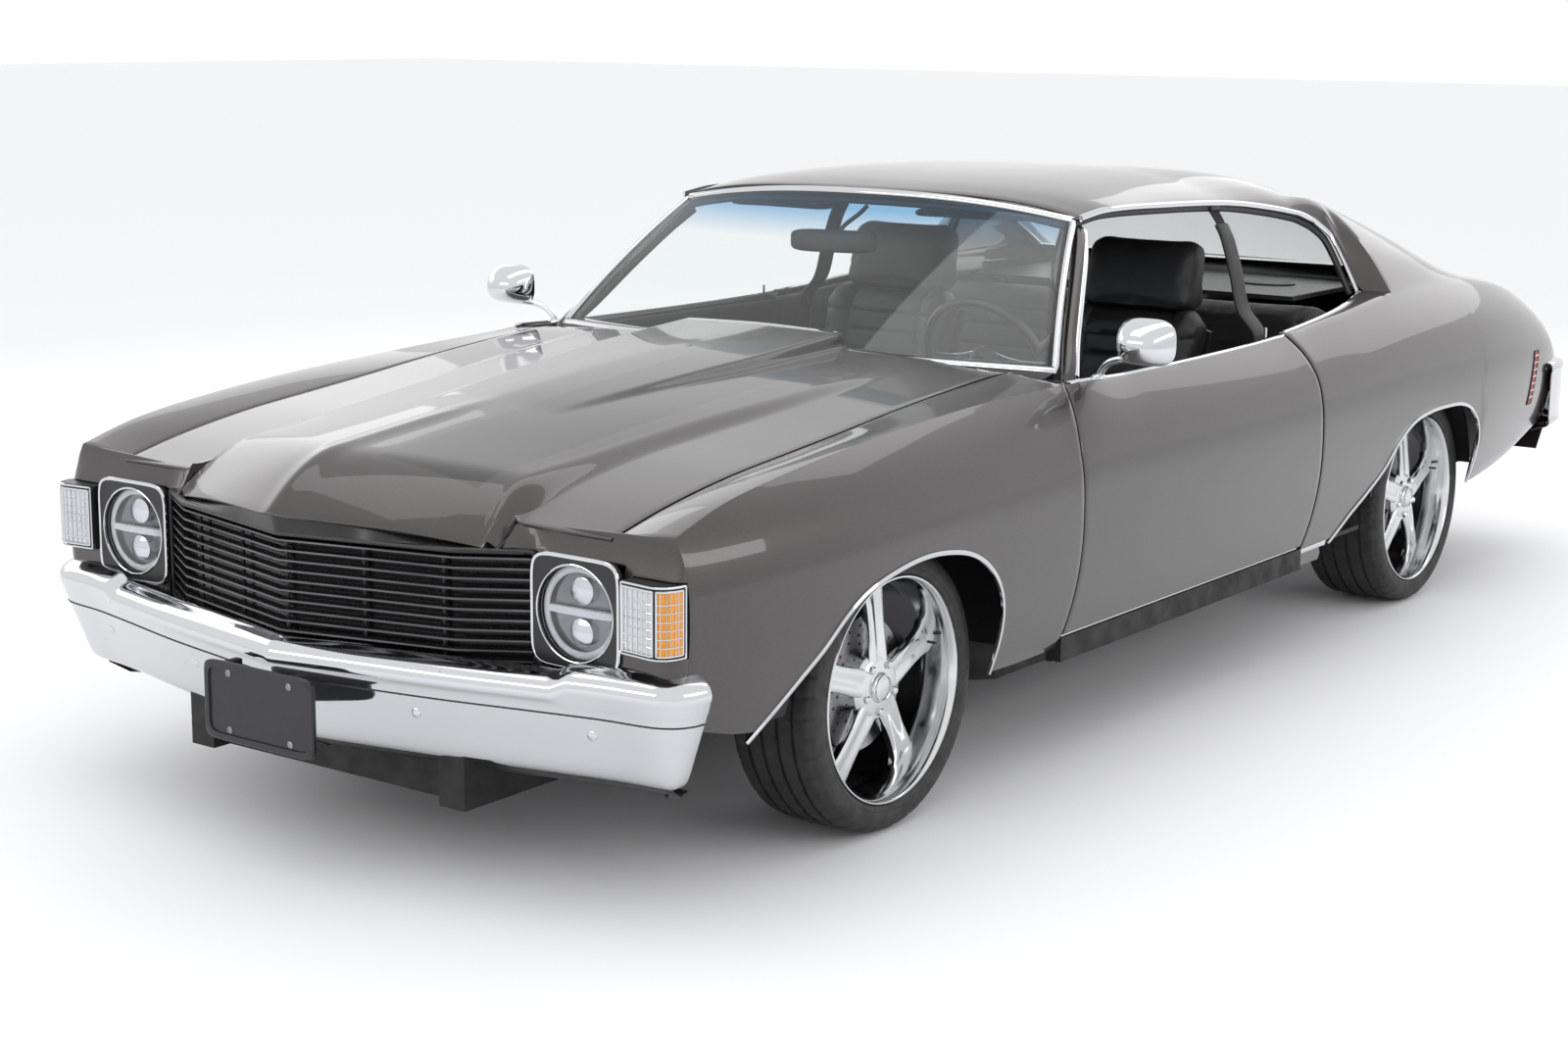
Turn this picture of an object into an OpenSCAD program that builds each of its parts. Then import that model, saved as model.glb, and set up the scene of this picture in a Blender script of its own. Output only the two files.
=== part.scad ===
// Two-door hardtop muscle car, millimetres, nose towards -Y, +Z up, ground at Z = 0.
// Stations run along the car from the front axle (0) rearwards; place() puts them in Y.

/* [Overall] */
// distance between the axles
wheelbase = 2845; // [2300:5:3500]
// front axle to the front bumper's tip
front_overhang = 1004; // [800:2:1250]
// rear axle to the rear bumper
rear_overhang = 1167; // [950:1:1420]
// width over the doors
body_w = 1915; // [1580:1:2300]
// ground to the roof's crown
roof_h = 1336; // [1200:1:1500]

/* [Wheels] */
// tyre outside diameter
tyre_d = 632; // [560:1:760]
// front tyre section width
tyre_w = 226; // [180:1:270]
// rear tyre section width
rear_tyre_w = 246; // [190:1:290]
// rim diameter over the flange
rim_d = 500; // [400:1:520]
// spoke count
spoke_count = 5; // [4:1:8]
// tyre side to the widest body line
wheel_inset = 88; // [60:1:130]
// wheel mounting face behind the tyre's outer side
hub_depth = 78; // [50:1:110]
// radius of the bore that turns on the spindle
hub_bore_r = 22; // [14:1:30]
// radial gap between spindle and bore
bore_gap = 0.05; // [0.02:0.01:0.1]
// brake disc diameter
disc_d = 300; // [220:1:340]
// steering pivot inboard of the tyre's outer side
kingpin_inset = 182; // [140:1:220]

/* [Panels] */
// outer sheet thickness
skin = 8; // [4:1:14]
// door thickness behind the widest line
door_t = 118; // [80:1:150]
// gap round the doors and lids
shut_gap = 6; // [5:1:9]
// door front edge behind the front axle
door_front = 640; // [600:1:700]
// door rear edge ahead of the rear axle
door_rear = 915; // [860:1:1000]
// sill top under the door
sill_top = 318; // [290:1:340]
// hood half width at its side gap
hood_half = 709; // [640:1:760]
// hood rear edge behind the front axle
hood_rear = 672; // [640:1:690]
// trunk lid half width
lid_half = 640; // [560:1:690]
// trunk lid front edge behind the rear axle
lid_front = 375; // [360:1:420]
// trunk lid rear edge behind the rear axle
lid_rear = 1015; // [950:1:1060]
// glass thickness
glass_t = 6; // [4:1:8]

/* [Hinges] */
// door hinge pin behind the door's front edge
door_pin = 17; // [12:1:30]
// hinge pin inside the widest line
door_pin_in = 5; // [3:1:8]
// trunk hinge pin below the sheet
lid_pin_drop = 36; // [20:1:60]
// hinge pin radius
hinge_pin_r = 5; // [3:0.5:8]

/* [Frame and running gear] */
// frame rail width
rail_w = 70; // [50:1:100]
// frame rail height
rail_h = 105; // [80:1:140]
// underside of the cabin rails
rail_z = 170; // [140:1:220]
// middle of the front rails from the centre line
front_rail_x = 370; // [320:1:400]
// middle of the cabin rails from the centre line
side_rail_x = 660; // [560:1:700]
// floor sheet thickness
floor_t = 12; // [6:1:20]
// engine block length
engine_len = 620; // [480:1:760]
// engine block width
engine_w = 480; // [400:1:560]
// engine block height
engine_h = 520; // [420:1:620]
// exhaust pipe radius
pipe_r = 32; // [22:1:40]
// rear axle tube radius
axle_r = 42; // [30:1:55]

/* [Plates and mounts] */
// plate bolt spacing across
plate_bolt_x = 178; // [140:1:200]
// plate bolt spacing upwards
plate_bolt_z = 121; // [80:1:140]
// plate bolt hole radius
plate_hole_r = 3.5; // [2:0.5:5]
// plate bracket width
plate_w = 320; // [280:1:360]
// plate bracket height
plate_h = 168; // [150:1:190]

/* [Cabin] */
// seat cushion width
seat_w = 470; // [400:1:560]
// seat cushion top above the ground
seat_z = 505; // [440:1:560]
// seat back height over the cushion
seat_back_h = 640; // [520:1:700]
// middle of a front seat from the centre line
seat_x = 402; // [380:1:460]
// steering wheel's middle from the centre line
helm_x = 370; // [330:1:420]
// steering wheel rim diameter
helm_d = 370; // [320:1:420]
// steering wheel rim thickness
helm_t = 26; // [18:1:36]

/* [Hidden] */
$fn = 48;

// the drawing's own sizes, which the curves below were drawn at
wb0 = 2845;
fo0 = 1004;
ro0 = 1167;
bw0 = 1915;
rh0 = 1336;
belt0 = 905;
nose_join = -440;
tail_join = 3240;
door0 = 640;
hip0 = 2380;
plate_proud = 30;
wide = body_w / 2;
wheel_z = tyre_d / 2;
rear_y = wheelbase;
y_mid = (rear_y + rear_overhang - front_overhang - plate_proud) / 2;
tyre_out = wide - wheel_inset;
pin_x = tyre_out - kingpin_inset;
hub_x = tyre_out - hub_depth;
door_end = wheelbase - door_rear;
axis_x = wide - door_pin_in;
axis_y = door_front + door_pin;
inner_x = wide - door_t;

// station s as drawn -> station of this car
function st(s) = s < nose_join ? nose_join + (s - nose_join) * (front_overhang + nose_join)
    / (fo0 + nose_join)
  : s < door0 ? s
  : s < hip0 ? door0 + (s - door0) * (hip0 - door0 + wheelbase - wb0) / (hip0 - door0)
  : s < tail_join ? s + wheelbase - wb0
  : tail_join + wheelbase - wb0 + (s - tail_join) * (wb0 + ro0 - tail_join
    + rear_overhang - ro0) / (wb0 + ro0 - tail_join);
function wx(x) = x * body_w / bw0;
function hz(z) = z < belt0 ? z : belt0 + (z - belt0) * (roof_h - belt0) / (rh0 - belt0);
function at(p) = [wx(p[0]), st(p[1]) - y_mid, hz(p[2])];
module place() {
  translate([0, -y_mid, 0])
    children();
}
module both() {
  children();
  mirror([1, 0, 0])
    children();
}

// smooth curve through [station, value] pairs
function seg(t, s, i = 0) = i >= len(t) - 2 || s < t[i + 1][0] ? i : seg(t, s, i + 1);
function slope(t, i) = i == 0 ? (t[1][1] - t[0][1]) / (t[1][0] - t[0][0])
  : i == len(t) - 1 ? (t[i][1] - t[i - 1][1]) / (t[i][0] - t[i - 1][0])
  : (t[i + 1][1] - t[i - 1][1]) / (t[i + 1][0] - t[i - 1][0]);
function herm(a, b, ma, mb, h, u) = a * (2 * u * u * u - 3 * u * u + 1)
  + ma * h * (u * u * u - 2 * u * u + u) + b * (3 * u * u - 2 * u * u * u)
  + mb * h * (u * u * u - u * u);
function curve(t, s) = s <= t[0][0] ? t[0][1] : s >= t[len(t) - 1][0] ? t[len(t) - 1][1]
  : let(i = seg(t, s), h = t[i + 1][0] - t[i][0])
    herm(t[i][1], t[i + 1][1], slope(t, i), slope(t, i + 1), h, (s - t[i][0]) / h);
function mix(a, b, u) = a + (b - a) * u;

// body side curves
crest_x = [[-760, 861], [-600, 856], [-300, 851], [0, 844], [300, 840], [560, 850],
  [720, 872], [1000, 872], [1800, 862], [2260, 850], [2600, 832], [3000, 812],
  [3400, 796], [3700, 786], [3860, 790], [3960, 800]];
crest_z = [[-760, 771], [-600, 814], [-400, 843], [-200, 863], [0, 877], [300, 892],
  [560, 900], [720, 906], [1000, 897], [1800, 900], [2260, 928], [2600, 952],
  [2900, 958], [3200, 948], [3450, 922], [3650, 886], [3800, 838], [3900, 780], [3960, 715]];
wide_x = [[-830, 882], [-760, 897], [-600, 926], [-400, 945], [-150, 955], [300, 957],
  [1900, 957], [2700, 955], [3150, 950], [3450, 935], [3700, 912], [3860, 890], [3960, 866]];
wide_z = 600;
low_z = [[-760, 400], [-560, 352], [400, 290], [1000, 304], [2100, 312], [3100, 330],
  [3400, 365], [3700, 430], [3960, 470]];
side_power = 3;
tuck = 0.00065;
function side_x(s, z) = let(xc = curve(crest_x, s), zc = curve(crest_z, s),
    xw = curve(wide_x, s))
  z >= wide_z ? mix(xw, xc, pow(min(1, (z - wide_z) / (zc - wide_z)), side_power))
  : xw - tuck * pow(wide_z - z, 2);

// wheel arches, from the axle
front_arch = [[-560, 330], [-505, 384], [-440, 442], [-379, 490], [-310, 550], [-243, 588],
  [-150, 613], [-40, 627], [60, 622], [150, 602], [225, 562], [285, 500], [318, 420],
  [332, 290]];
rear_arch = [[-720, 300], [-640, 370], [-560, 420], [-470, 478], [-390, 545], [-290, 592],
  [-170, 610], [-40, 612], [80, 604], [170, 576], [240, 520], [270, 450], [276, 390],
  [278, 330]];
function arch_z(s) = s > -560 && s < 332 ? lookup(s, front_arch)
  : s > wb0 - 720 && s < wb0 + 278 ? lookup(s - wb0, rear_arch) : 0;
function foot(s) = max(curve(low_z, s), arch_z(s));

// door edges by height, as offsets from the plain station
function front_bend(z) = z < 750 ? 0 : 55 * pow((z - 750) / 150, 1.6);
function rear_bend(z) = z < 760 ? 0 : -52 * pow((z - 760) / 130, 2);

// grids: rows of points; a panel is the grid and its copy behind the surface
function unit(v) = norm(v) < 0.000001 ? [0, 0, 1] : v / norm(v);
function nrm(g, i, j) = let(a = min(i + 1, len(g) - 1), b = max(i - 1, 0),
    c = min(j + 1, len(g[0]) - 1), d = max(j - 1, 0))
  unit(cross(g[a][j] - g[b][j], g[i][c] - g[i][d]));
function behind(g, t) = [for (i = [0:len(g) - 1]) [for (j = [0:len(g[0]) - 1])
  g[i][j] - t * nrm(g, i, j)]];
function flat(l) = [for (a = l) for (b = a) b];
function skin_faces(n, m, o) = [for (i = [0:n - 2]) for (j = [0:m - 2])
  each (o == 0
    ? [[i * m + j, (i + 1) * m + j + 1, (i + 1) * m + j], [i * m + j, i * m + j + 1,
      (i + 1) * m + j + 1]]
    : [[o + i * m + j, o + (i + 1) * m + j, o + (i + 1) * m + j + 1],
      [o + i * m + j, o + (i + 1) * m + j + 1, o + i * m + j + 1]])];
function rim_faces(n, m) = let(o = n * m) concat(
  [for (i = [0:n - 2]) each [[i * m, (i + 1) * m, o + (i + 1) * m],
    [i * m, o + (i + 1) * m, o + i * m]]],
  [for (i = [0:n - 2]) each [[(i + 1) * m - 1, o + (i + 2) * m - 1, (i + 2) * m - 1],
    [(i + 1) * m - 1, o + (i + 1) * m - 1, o + (i + 2) * m - 1]]],
  [for (j = [0:m - 2]) each [[j, o + j + 1, j + 1], [j, o + j, o + j + 1]]],
  [for (j = [0:m - 2]) let(k = (n - 1) * m + j) each [[k, k + 1, o + k + 1],
    [k, o + k + 1, o + k]]]);
module panel(g, h) {
  n = len(g);
  m = len(g[0]);
  polyhedron(points = concat(flat(g), flat(h)),
    faces = concat(skin_faces(n, m, 0), skin_faces(n, m, n * m), rim_faces(n, m)),
    convexity = 8);
}
module sheet(g, t) {
  panel(g, behind(g, t));
}

// square bar swept along a path of points, w along the side vector, h across it
module bar(path, side, w, h) {
  n = len(path);
  pts = [for (i = [0:n - 1]) let(d = unit(path[min(i + 1, n - 1)] - path[max(i - 1, 0)]),
      u = unit(cross(cross(d, side), d)), v = cross(d, u))
    each [path[i] + u * w / 2 + v * h / 2, path[i] - u * w / 2 + v * h / 2,
      path[i] - u * w / 2 - v * h / 2, path[i] + u * w / 2 - v * h / 2]];
  polyhedron(points = pts, faces = concat([[0, 1, 2], [0, 2, 3]],
    [for (i = [0:n - 2]) for (k = [0:3]) let(a = 4 * i + k, b = 4 * i + (k + 1) % 4)
      each [[a, a + 4, b], [b, a + 4, b + 4]]],
    [[4 * n - 4, 4 * n - 2, 4 * n - 3], [4 * n - 4, 4 * n - 1, 4 * n - 2]]), convexity = 6);
}
// round tube swept along a path, outer radius r, closed ends
module tube(path, r, sides = 10) {
  n = len(path);
  pts = [for (i = [0:n - 1]) let(d = unit(path[min(i + 1, n - 1)] - path[max(i - 1, 0)]),
      u = unit(cross(d, [0.13, 0.2, 1])), v = cross(d, u))
    each [for (k = [0:sides - 1]) path[i] + r * cos(360 * k / sides) * u
      + r * sin(360 * k / sides) * v]];
  polyhedron(points = pts, faces = concat(
    [for (k = [1:sides - 2]) [0, k, k + 1]],
    [for (i = [0:n - 2]) for (k = [0:sides - 1]) let(a = sides * i + k,
        b = sides * i + (k + 1) % sides) each [[a, a + sides, b], [b, a + sides, b + sides]]],
    [for (k = [1:sides - 2]) [sides * (n - 1), sides * (n - 1) + k + 1,
      sides * (n - 1) + k]]), convexity = 6);
}
module box(x, y, z) {
  translate([x[0], y[0], z[0]])
    cube([x[1] - x[0], y[1] - y[0], z[1] - z[0]]);
}
// rod along X
module rod_x(x0, x1, y, z, r) {
  translate([x0, y, z])
    rotate([0, 90, 0])
      cylinder(h = x1 - x0, r = r);
}

// ---- body side panels ----
side_rows = 9;
function side_line(s, lo, bend, w) = [for (k = [0:side_rows - 1])
  let(z = mix(lo, curve(crest_z, s), pow(k / (side_rows - 1), 0.85)))
    [side_x(s, z), s + w * (bend == 0 ? front_bend(z) : rear_bend(z)), z]];
gap_z = [[-775, 750], [-600, 790], [-400, 822], [-200, 843], [0, 863], [200, 885],
  [400, 903], [600, 918], [700, 918]];
fender_top_half = hood_half + shut_gap;
function fender_top(s, w) = let(xc = curve(crest_x, s), zc = curve(crest_z, s),
    zg = curve(gap_z, s), b = w * front_bend(zc))
  [for (u = [0.35, 0.7, 1]) [mix(xc, fender_top_half, u), s + b, mix(zc, zg, u * u)],
    [fender_top_half, s + b, zg - 26]];
fender_s = [-757, -700, -630, -560, -505, -440, -379, -310, -243, -150, -40, 60, 150, 225,
  285, 318, 332, 420, 530, door_front - shut_gap];
module fender() {
  sheet([for (s = fender_s) let(w = max(0, (s - 420) / (door_front - 420)))
    [for (p = concat(side_line(s, foot(s), 0, w), fender_top(s, w))) at(p)]], skin);
}
module fender_left() {
  color([0.24, 0.23, 0.23])
    fender();
}
module fender_right() {
  color([0.24, 0.23, 0.23])
    mirror([1, 0, 0])
      fender();
}

// the cabin's station for a place measured on this car
function cabin(y) = door0 + (y - door0) * (hip0 - door0) / (hip0 - door0 + wheelbase - wb0);
door_s1 = cabin(door_end);
door_n = 11;
rear_inset = 22;
front_inset = 10;
function door_line(u) = let(s = mix(door_front, door_s1, u))
  [for (k = [0:side_rows - 1]) let(z = mix(sill_top + 3, curve(crest_z, s) - 2,
      k / (side_rows - 1)))
    [side_x(s, z), s + front_bend(z) * max(0, 1 - u * 5) + rear_bend(z)
      * max(0, u * 5 - 4), z]];
module door() {
  g = [for (i = [0:door_n - 1]) [for (p = door_line(i / (door_n - 1))) at(p)]];
  h = [for (i = [0:door_n - 1]) let(u = i / (door_n - 1)) [for (p = g[i])
    [inner_x, p[1] + mix(front_inset, -rear_inset, u), p[2]]]];
  panel(g, h);
}
module door_left() {
  color([0.24, 0.23, 0.23])
    door();
}
module door_right() {
  color([0.24, 0.23, 0.23])
    mirror([1, 0, 0])
      door();
}

// rear quarter: side, shoulder and the strip beside the lid
strip_x = [[1900, 838], [2260, 818], [2560, 760], [2612, 742]];
quarter_s = concat([door_s1 + shut_gap, 2010, 2070], [for (p = rear_arch) wb0 + p[0]],
  [3200, 3300, 3420, 3540, 3660, 3760, 3850, 3910, 3960]);
lid_z = [[3200, 966], [3400, 944], [3600, 914], [3760, 878], [3860, 842], [3960, 770]];
strip_half = lid_half + shut_gap;
function quarter_top(s) = let(xc = curve(crest_x, s), zc = curve(crest_z, s))
  s < 2612 ? [[mix(xc, lookup(s, strip_x), 0.6), s, zc + 2],
    [lookup(s, strip_x), s, zc + 2], [lookup(s, strip_x), s, zc - 24]]
  : s < 3200 ? [[xc - 8, s, zc + 3], [xc - 16, s, zc + 6], [xc - 20, s, zc - 24]]
  : let(b = min(1, (s - 3200) / 60), e = mix(xc - 16, strip_half, b))
    [[mix(xc, e, 0.5), s, zc + 8], [e, s, mix(zc + 6, curve(lid_z, s), b)],
    [e, s, mix(zc - 24, curve(lid_z, s) - 30, b)]];
module quarter() {
  sheet([for (s = quarter_s) let(w = max(0, 1 - (s - door_s1) / 60))
    [for (p = concat(side_line(s, foot(s), 1, w), quarter_top(s))) at(p)]], skin);
}
module quarter_left() {
  color([0.24, 0.23, 0.23])
    quarter();
}
module quarter_right() {
  color([0.24, 0.23, 0.23])
    mirror([1, 0, 0])
      quarter();
}

// ---- roof and glass ----
drip_x = [[1160, 628], [1275, 627], [1574, 615], [1981, 610], [2223, 612], [2440, 618]];
drip_z = [[1160, 1250], [1275, 1262], [1574, 1257], [1981, 1241], [2223, 1217], [2440, 1185]];
crown_z = [[1108, 1296], [1220, 1315], [1420, 1331], [1680, 1336], [1940, 1331],
  [2225, 1311], [2480, 1266]];
roof_cols = 13;
function roof_f(k) = 1 - 2 * k / (roof_cols - 1);
function roof_front(f) = 1112 + 42 * f * f;
function roof_back(f) = 2480 - 40 * f * f;
function roof_at(f, s) = [curve(drip_x, s) * f, s,
  mix(curve(drip_z, s), curve(crown_z, s), 1 - pow(abs(f), 2.6))];
module roof() {
  color([0.24, 0.23, 0.23])
    sheet([for (i = [0:10]) concat([let(p = roof_at(1, mix(roof_front(1) + 8, roof_back(1),
        i / 10))) at(p - [34, 0, 16])],
      [for (k = [0:roof_cols - 1]) let(f = roof_f(k)) at(roof_at(f,
        mix(roof_front(f), roof_back(f), i / 10)))],
      [let(p = roof_at(-1, mix(roof_front(1) + 8, roof_back(1), i / 10)))
        at(p + [34, 0, -16])])], skin * 1.5);
}

// rear pillars, from the drip rail down to the shoulder
sail_s = [2440.4, 2500, 2540, 2573, 2592, 2605, 2640, 2720, 2820, 2920, 3020, 3110, 3200];
sail_low = [[2440, 618, 1185], [2500, 624, 1168], [2540, 630, 1153], [2573, 637, 1138],
  [2592, 670, 1082], [2605, 740, 966], [2640, 813, 964.8]];
ridge_x = [[2440, 598], [2616, 606], [2859, 628], [3070, 655], [3200, 672]];
ridge_z = [[2440, 1246], [2616, 1206], [2859, 1132], [3070, 1055], [3200, 1000]];
edge_x = [[2440, 562], [3090, 650], [3200, 652]];
edge_z = [[2440, 1236], [2700, 1146], [2900, 1064], [3090, 985], [3200, 968]];
function low_at(s) = s > 2640 ? [curve(crest_x, s) - 19, s, curve(crest_z, s) + 7]
  : [lookup(s, [for (p = sail_low) [p[0], p[1]]]), s,
    lookup(s, [for (p = sail_low) [p[0], p[2]]])];
function sail_line(s) = let(a = low_at(s), b = [curve(ridge_x, s), s, curve(ridge_z, s)],
    c = [curve(edge_x, s), s, curve(edge_z, s)], m = (a + b) / 2 + [14, 0, 10])
  [a, mix(mix(a, m, 0.5), mix(m, b, 0.5), 0.25), mix(mix(a, m, 0.5), mix(m, b, 0.5), 0.6),
    mix(m, b, 0.75), b, mix(b, c, 0.5) + [0, 0, 3], c];
module sail() {
  sheet([for (s = sail_s) [for (p = sail_line(s)) at(p)]], skin);
}
module sail_panels() {
  color([0.24, 0.23, 0.23])
    both()
      sail();
}

// windshield: base, top and a slight bow between
shield_cols = 9;
function shield_at(f, v) = let(b = [770 * f, 722 + 84 * f * f, 914],
    t = [610 * f, 1106 + 42 * f * f, 1288 - 46 * pow(abs(f), 2.5)])
  mix(b, t, v) + [0, -22 * v * (1 - v) * 4 * 0.5, 22 * v * (1 - v) * 4 * 0.5];
module windshield() {
  color([0.6, 0.75, 0.8, 0.35])
    sheet([for (i = [0:6]) [for (k = [0:shield_cols - 1])
      at(shield_at(1 - 2 * k / (shield_cols - 1), i / 6))]], glass_t);
}
function back_at(f, v) = let(t = [(curve(edge_x, 2452) - 0.6) * f, 2492 - 40 * f * f,
      1256 - 24 * pow(abs(f), 2.5)],
    b = [(curve(edge_x, 3106) - 0.6) * f, 3172 - 66 * f * f, 968 + 12 * f * f])
  mix(t, b, v) + [0, 12 * v * (1 - v) * 4 * 0.5, 16 * v * (1 - v) * 4 * 0.5];
module rear_glass() {
  color([0.6, 0.75, 0.8, 0.35])
    sheet([for (i = [0:6]) [for (k = [0:shield_cols - 1])
      at(back_at(1 - 2 * k / (shield_cols - 1), i / 6))]], glass_t);
}
// plenum floor and the wall up to the glass
cowl_z = 868;
module cowl() {
  color([0.05, 0.05, 0.05])
    sheet([for (i = [0:3]) [for (k = [0:shield_cols - 1]) let(f = 1 - 2 * k
        / (shield_cols - 1), b = shield_at(f, 0))
      at(i == 0 ? [b[0] * 0.9, fire_y + floor_t + 0.3, cowl_z]
        : i == 1 ? [b[0], b[1] - 24, cowl_z] : i == 2 ? [b[0], b[1] - 16, cowl_z + 12]
        : [b[0], b[1] - 5, b[2] - 7])]], skin);
}
// pillars and header as one hoop round the windshield
module windshield_frame() {
  color([0.24, 0.23, 0.23])
    bar([for (p = [[800, 812, 850], [797, 824, 898], [756, 896, 972], [709, 993, 1068],
        [661, 1090, 1158], [622, 1152, 1211], [580, 1164, 1225], [400, 1156, 1251],
        [0, 1146, 1263], [-400, 1156, 1251], [-580, 1164, 1225], [-622, 1152, 1211],
        [-661, 1090, 1158], [-709, 993, 1068], [-756, 896, 972], [-797, 824, 898],
        [-800, 812, 850]]) at(p)], [0.02, 1, -0.6], 34, 22);
}

// ---- lids ----
crease_x = [[-830, 440], [-700, 400], [-500, 398], [-300, 406], [-100, 420], [100, 439],
  [300, 457], [700, 490]];
crease_z = [[-830, 802], [-700, 824], [-500, 842], [-300, 862], [-100, 882], [100, 898],
  [300, 913], [700, 934]];
spine_z = [[-993, 838], [-889, 850], [-730, 868], [-334, 906], [0, 926], [300, 938],
  [700, 948]];
scoop_start = -320;
scoop_h = 34;
scoop_half = 262;
function hood_front_s(x) = abs(x) < 468 ? -990 + 172 * pow(abs(x) / 468, 1.15)
  : -775 + 12 * (abs(x) - 468) / 240;
function hood_back_s(x) = cabin(hood_rear);
function scoop(x, s) = s < scoop_start ? 0 : let(u = (s - scoop_start) / (hood_rear
    - scoop_start), w = mix(200, scoop_half, min(1, u * 1.6)))
  scoop_h * pow(u, 0.9) * (abs(x) < w - 34 ? 1 : abs(x) > w ? 0 : (w - abs(x)) / 34);
function hood_z(x, s) = let(a = abs(x), xc = curve(crease_x, s), zc = curve(crease_z, s),
    zg = curve(gap_z, s), d = s - hood_front_s(x))
  a < xc ? zc + (curve(spine_z, s) - zc) * (1 - pow(a / xc, 1.4)) + scoop(x, s)
    - (a < 468 && d < 200 ? 92 * pow(1 - d / 200, 2) : 0)
  : a < xc + 72 ? mix(zc, zg + 8, (a - xc) / 72)
    - (a < 468 && d < 200 ? 78 * pow(1 - d / 200, 2) : 0)
  : mix(zg + 8, zg, (a - xc - 72) / (hood_half - xc - 72));
hood_x = [hood_half, 600, 530, 470, 466, 410, 330, 262, 228, 120, 0];
hood_cols = concat(hood_x, [for (i = [9:-1:0]) -hood_x[i]]);
module hood() {
  color([0.22, 0.21, 0.21])
    sheet([for (i = [0:16]) [for (x = hood_cols) let(u = pow(i / 16, 1.25),
        s = mix(hood_front_s(x), hood_back_s(x), u)) at([x, s, hood_z(x, s)])]], skin * 2);
}
lid_cols = 9;
lid_s0 = lid_front + wb0;
lid_s1 = lid_rear + wb0;
function lid_at(f, s) = [lid_half * f, s, curve(lid_z, s) + 14 * (1 - f * f)];
lid_gap = 9;
arm_x = 600;
arm_ahead = 90;
arm_t = 12;
lid_pin_s = lid_s0 - arm_ahead;
lid_pin_z = curve(lid_z, lid_s0) - lid_pin_drop;
lid_pin_r = 6;
module trunk_lid() {
  color([0.24, 0.23, 0.23]) {
    sheet([for (i = [0:9]) [for (k = [0:lid_cols - 1]) let(f = 1 - 2 * k / (lid_cols - 1))
      at(lid_at(f, mix(lid_s0 + lid_gap - 12 * f * f, lid_s1, i / 9)))]], skin);
    both()
      bar([for (p = [unit([60, -90]) * (lid_pin_r + 0.3), [60, -90], [130, -90], [150, 27]])
        [arm_x, st(lid_pin_s) - y_mid + p[0], lid_pin_z + p[1]]], [1, 0, 0], arm_t, arm_t);
  }
}
module rear_deck() {
  color([0.24, 0.23, 0.23])
    sheet([for (i = [0:3]) [for (k = [0:lid_cols - 1]) let(f = 1 - 2 * k / (lid_cols - 1),
        a = back_at(f, 1) + [0, 0.5, 0], b = lid_at(f, lid_s0 - 12 * f * f))
      at(mix(a, b, i / 3))]], skin);
}

// ---- ends ----
module tail_panel() {
  color([0.24, 0.23, 0.23])
    sheet([for (i = [0:5]) [for (k = [0:10]) let(f = 1 - k / 5, v = i / 5,
        a = lid_at(f, lid_s1) + [0, lid_gap + 6, 0], b = [852 * f, 3956, 640])
      at([mix(a[0], b[0], v * v * v), mix(a[1], b[1], v) - 12 * v * (1 - v), mix(a[2], b[2],
        v)])]], skin);
}
nose_t = 42;
head_x = 648;
head_z = 602;
head_size = 206;
lamp_in = 772;
lamp_out = 888;
lamp_z0 = 543;
lamp_z1 = 690;
module head_hole() {
  translate([wx(head_x) - head_size / 2, head_z - head_size / 2])
    square(head_size);
}
module header_panel() {
  color([0.24, 0.23, 0.23])
    place()
      both()
        for (cap = [0, 1])
          translate([0, cap == 0 ? st(-757) - 0.3 : st(-781), 0])
            rotate([90, 0, 0])
              linear_extrude(cap == 0 ? nose_t - 1 : nose_t - 24)
                difference() {
                  polygon(concat([[wx(540), 450], [wx(846), 450], [wx(858), 512],
                    [wx(886), 560], [wx(876), 700], [wx(855), 766], [wx(780), 758]],
                    cap == 0 ? [[wx(722), 752], [wx(722), 718], [wx(540), 712]]
                    : [[wx(640), 750], [wx(482), 742], [wx(482), 712], [wx(540), 708]]));
                  head_hole();
                  translate([wx(lamp_in), lamp_z0])
                    square([200, lamp_z1 - lamp_z0]);
                }
}
module headlights() {
  color([0.85, 0.88, 0.9])
    place()
      both()
        translate([wx(head_x), st(-757), head_z])
          rotate([90, 0, 0]) {
            translate([-head_size / 2 + 0.3, -head_size / 2 + 0.3, -14])
              cube([head_size - 0.6, head_size - 0.6, 22]);
            translate([0, 0, 7])
              cylinder(h = 30, r = 91);
          }
}
module corner_lamps() {
  color([0.9, 0.55, 0.15])
    place()
      both()
        translate([0, 0, lamp_z0 + 0.3])
          linear_extrude(lamp_z1 - lamp_z0 - 0.6)
            polygon([[wx(lamp_in) + 0.3, st(-757) - 5], [wx(lamp_in) + 0.3, st(-812)],
              [wx(862), st(-822)], [wx(lamp_out), st(-800)], [wx(lamp_out + 6), st(-762)],
              [wx(lamp_out + 2), st(-757) - 5]]);
}
grille_z0 = 474;
grille_z1 = 688;
grille_bars = 11;
function grille_line(o) = [[wx(-534), st(-786) + o], [wx(-392), st(-872) + o],
  [0, st(-966) + o], [wx(392), st(-872) + o], [wx(534), st(-786) + o]];
module grille_strip(a, b) {
  polygon(concat(grille_line(a), [for (i = [4:-1:0]) grille_line(b)[i]]));
}
module grille() {
  color([0.06, 0.06, 0.065])
    place() {
      translate([0, 0, grille_z0])
        linear_extrude(grille_z1 - grille_z0)
          grille_strip(20, 26);
      for (k = [0:grille_bars - 1])
        translate([0, 0, mix(grille_z0, grille_z1 - 8, k / (grille_bars - 1))])
          linear_extrude(8)
            grille_strip(0, 21);
    }
}
bumper_t = 5;
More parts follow.
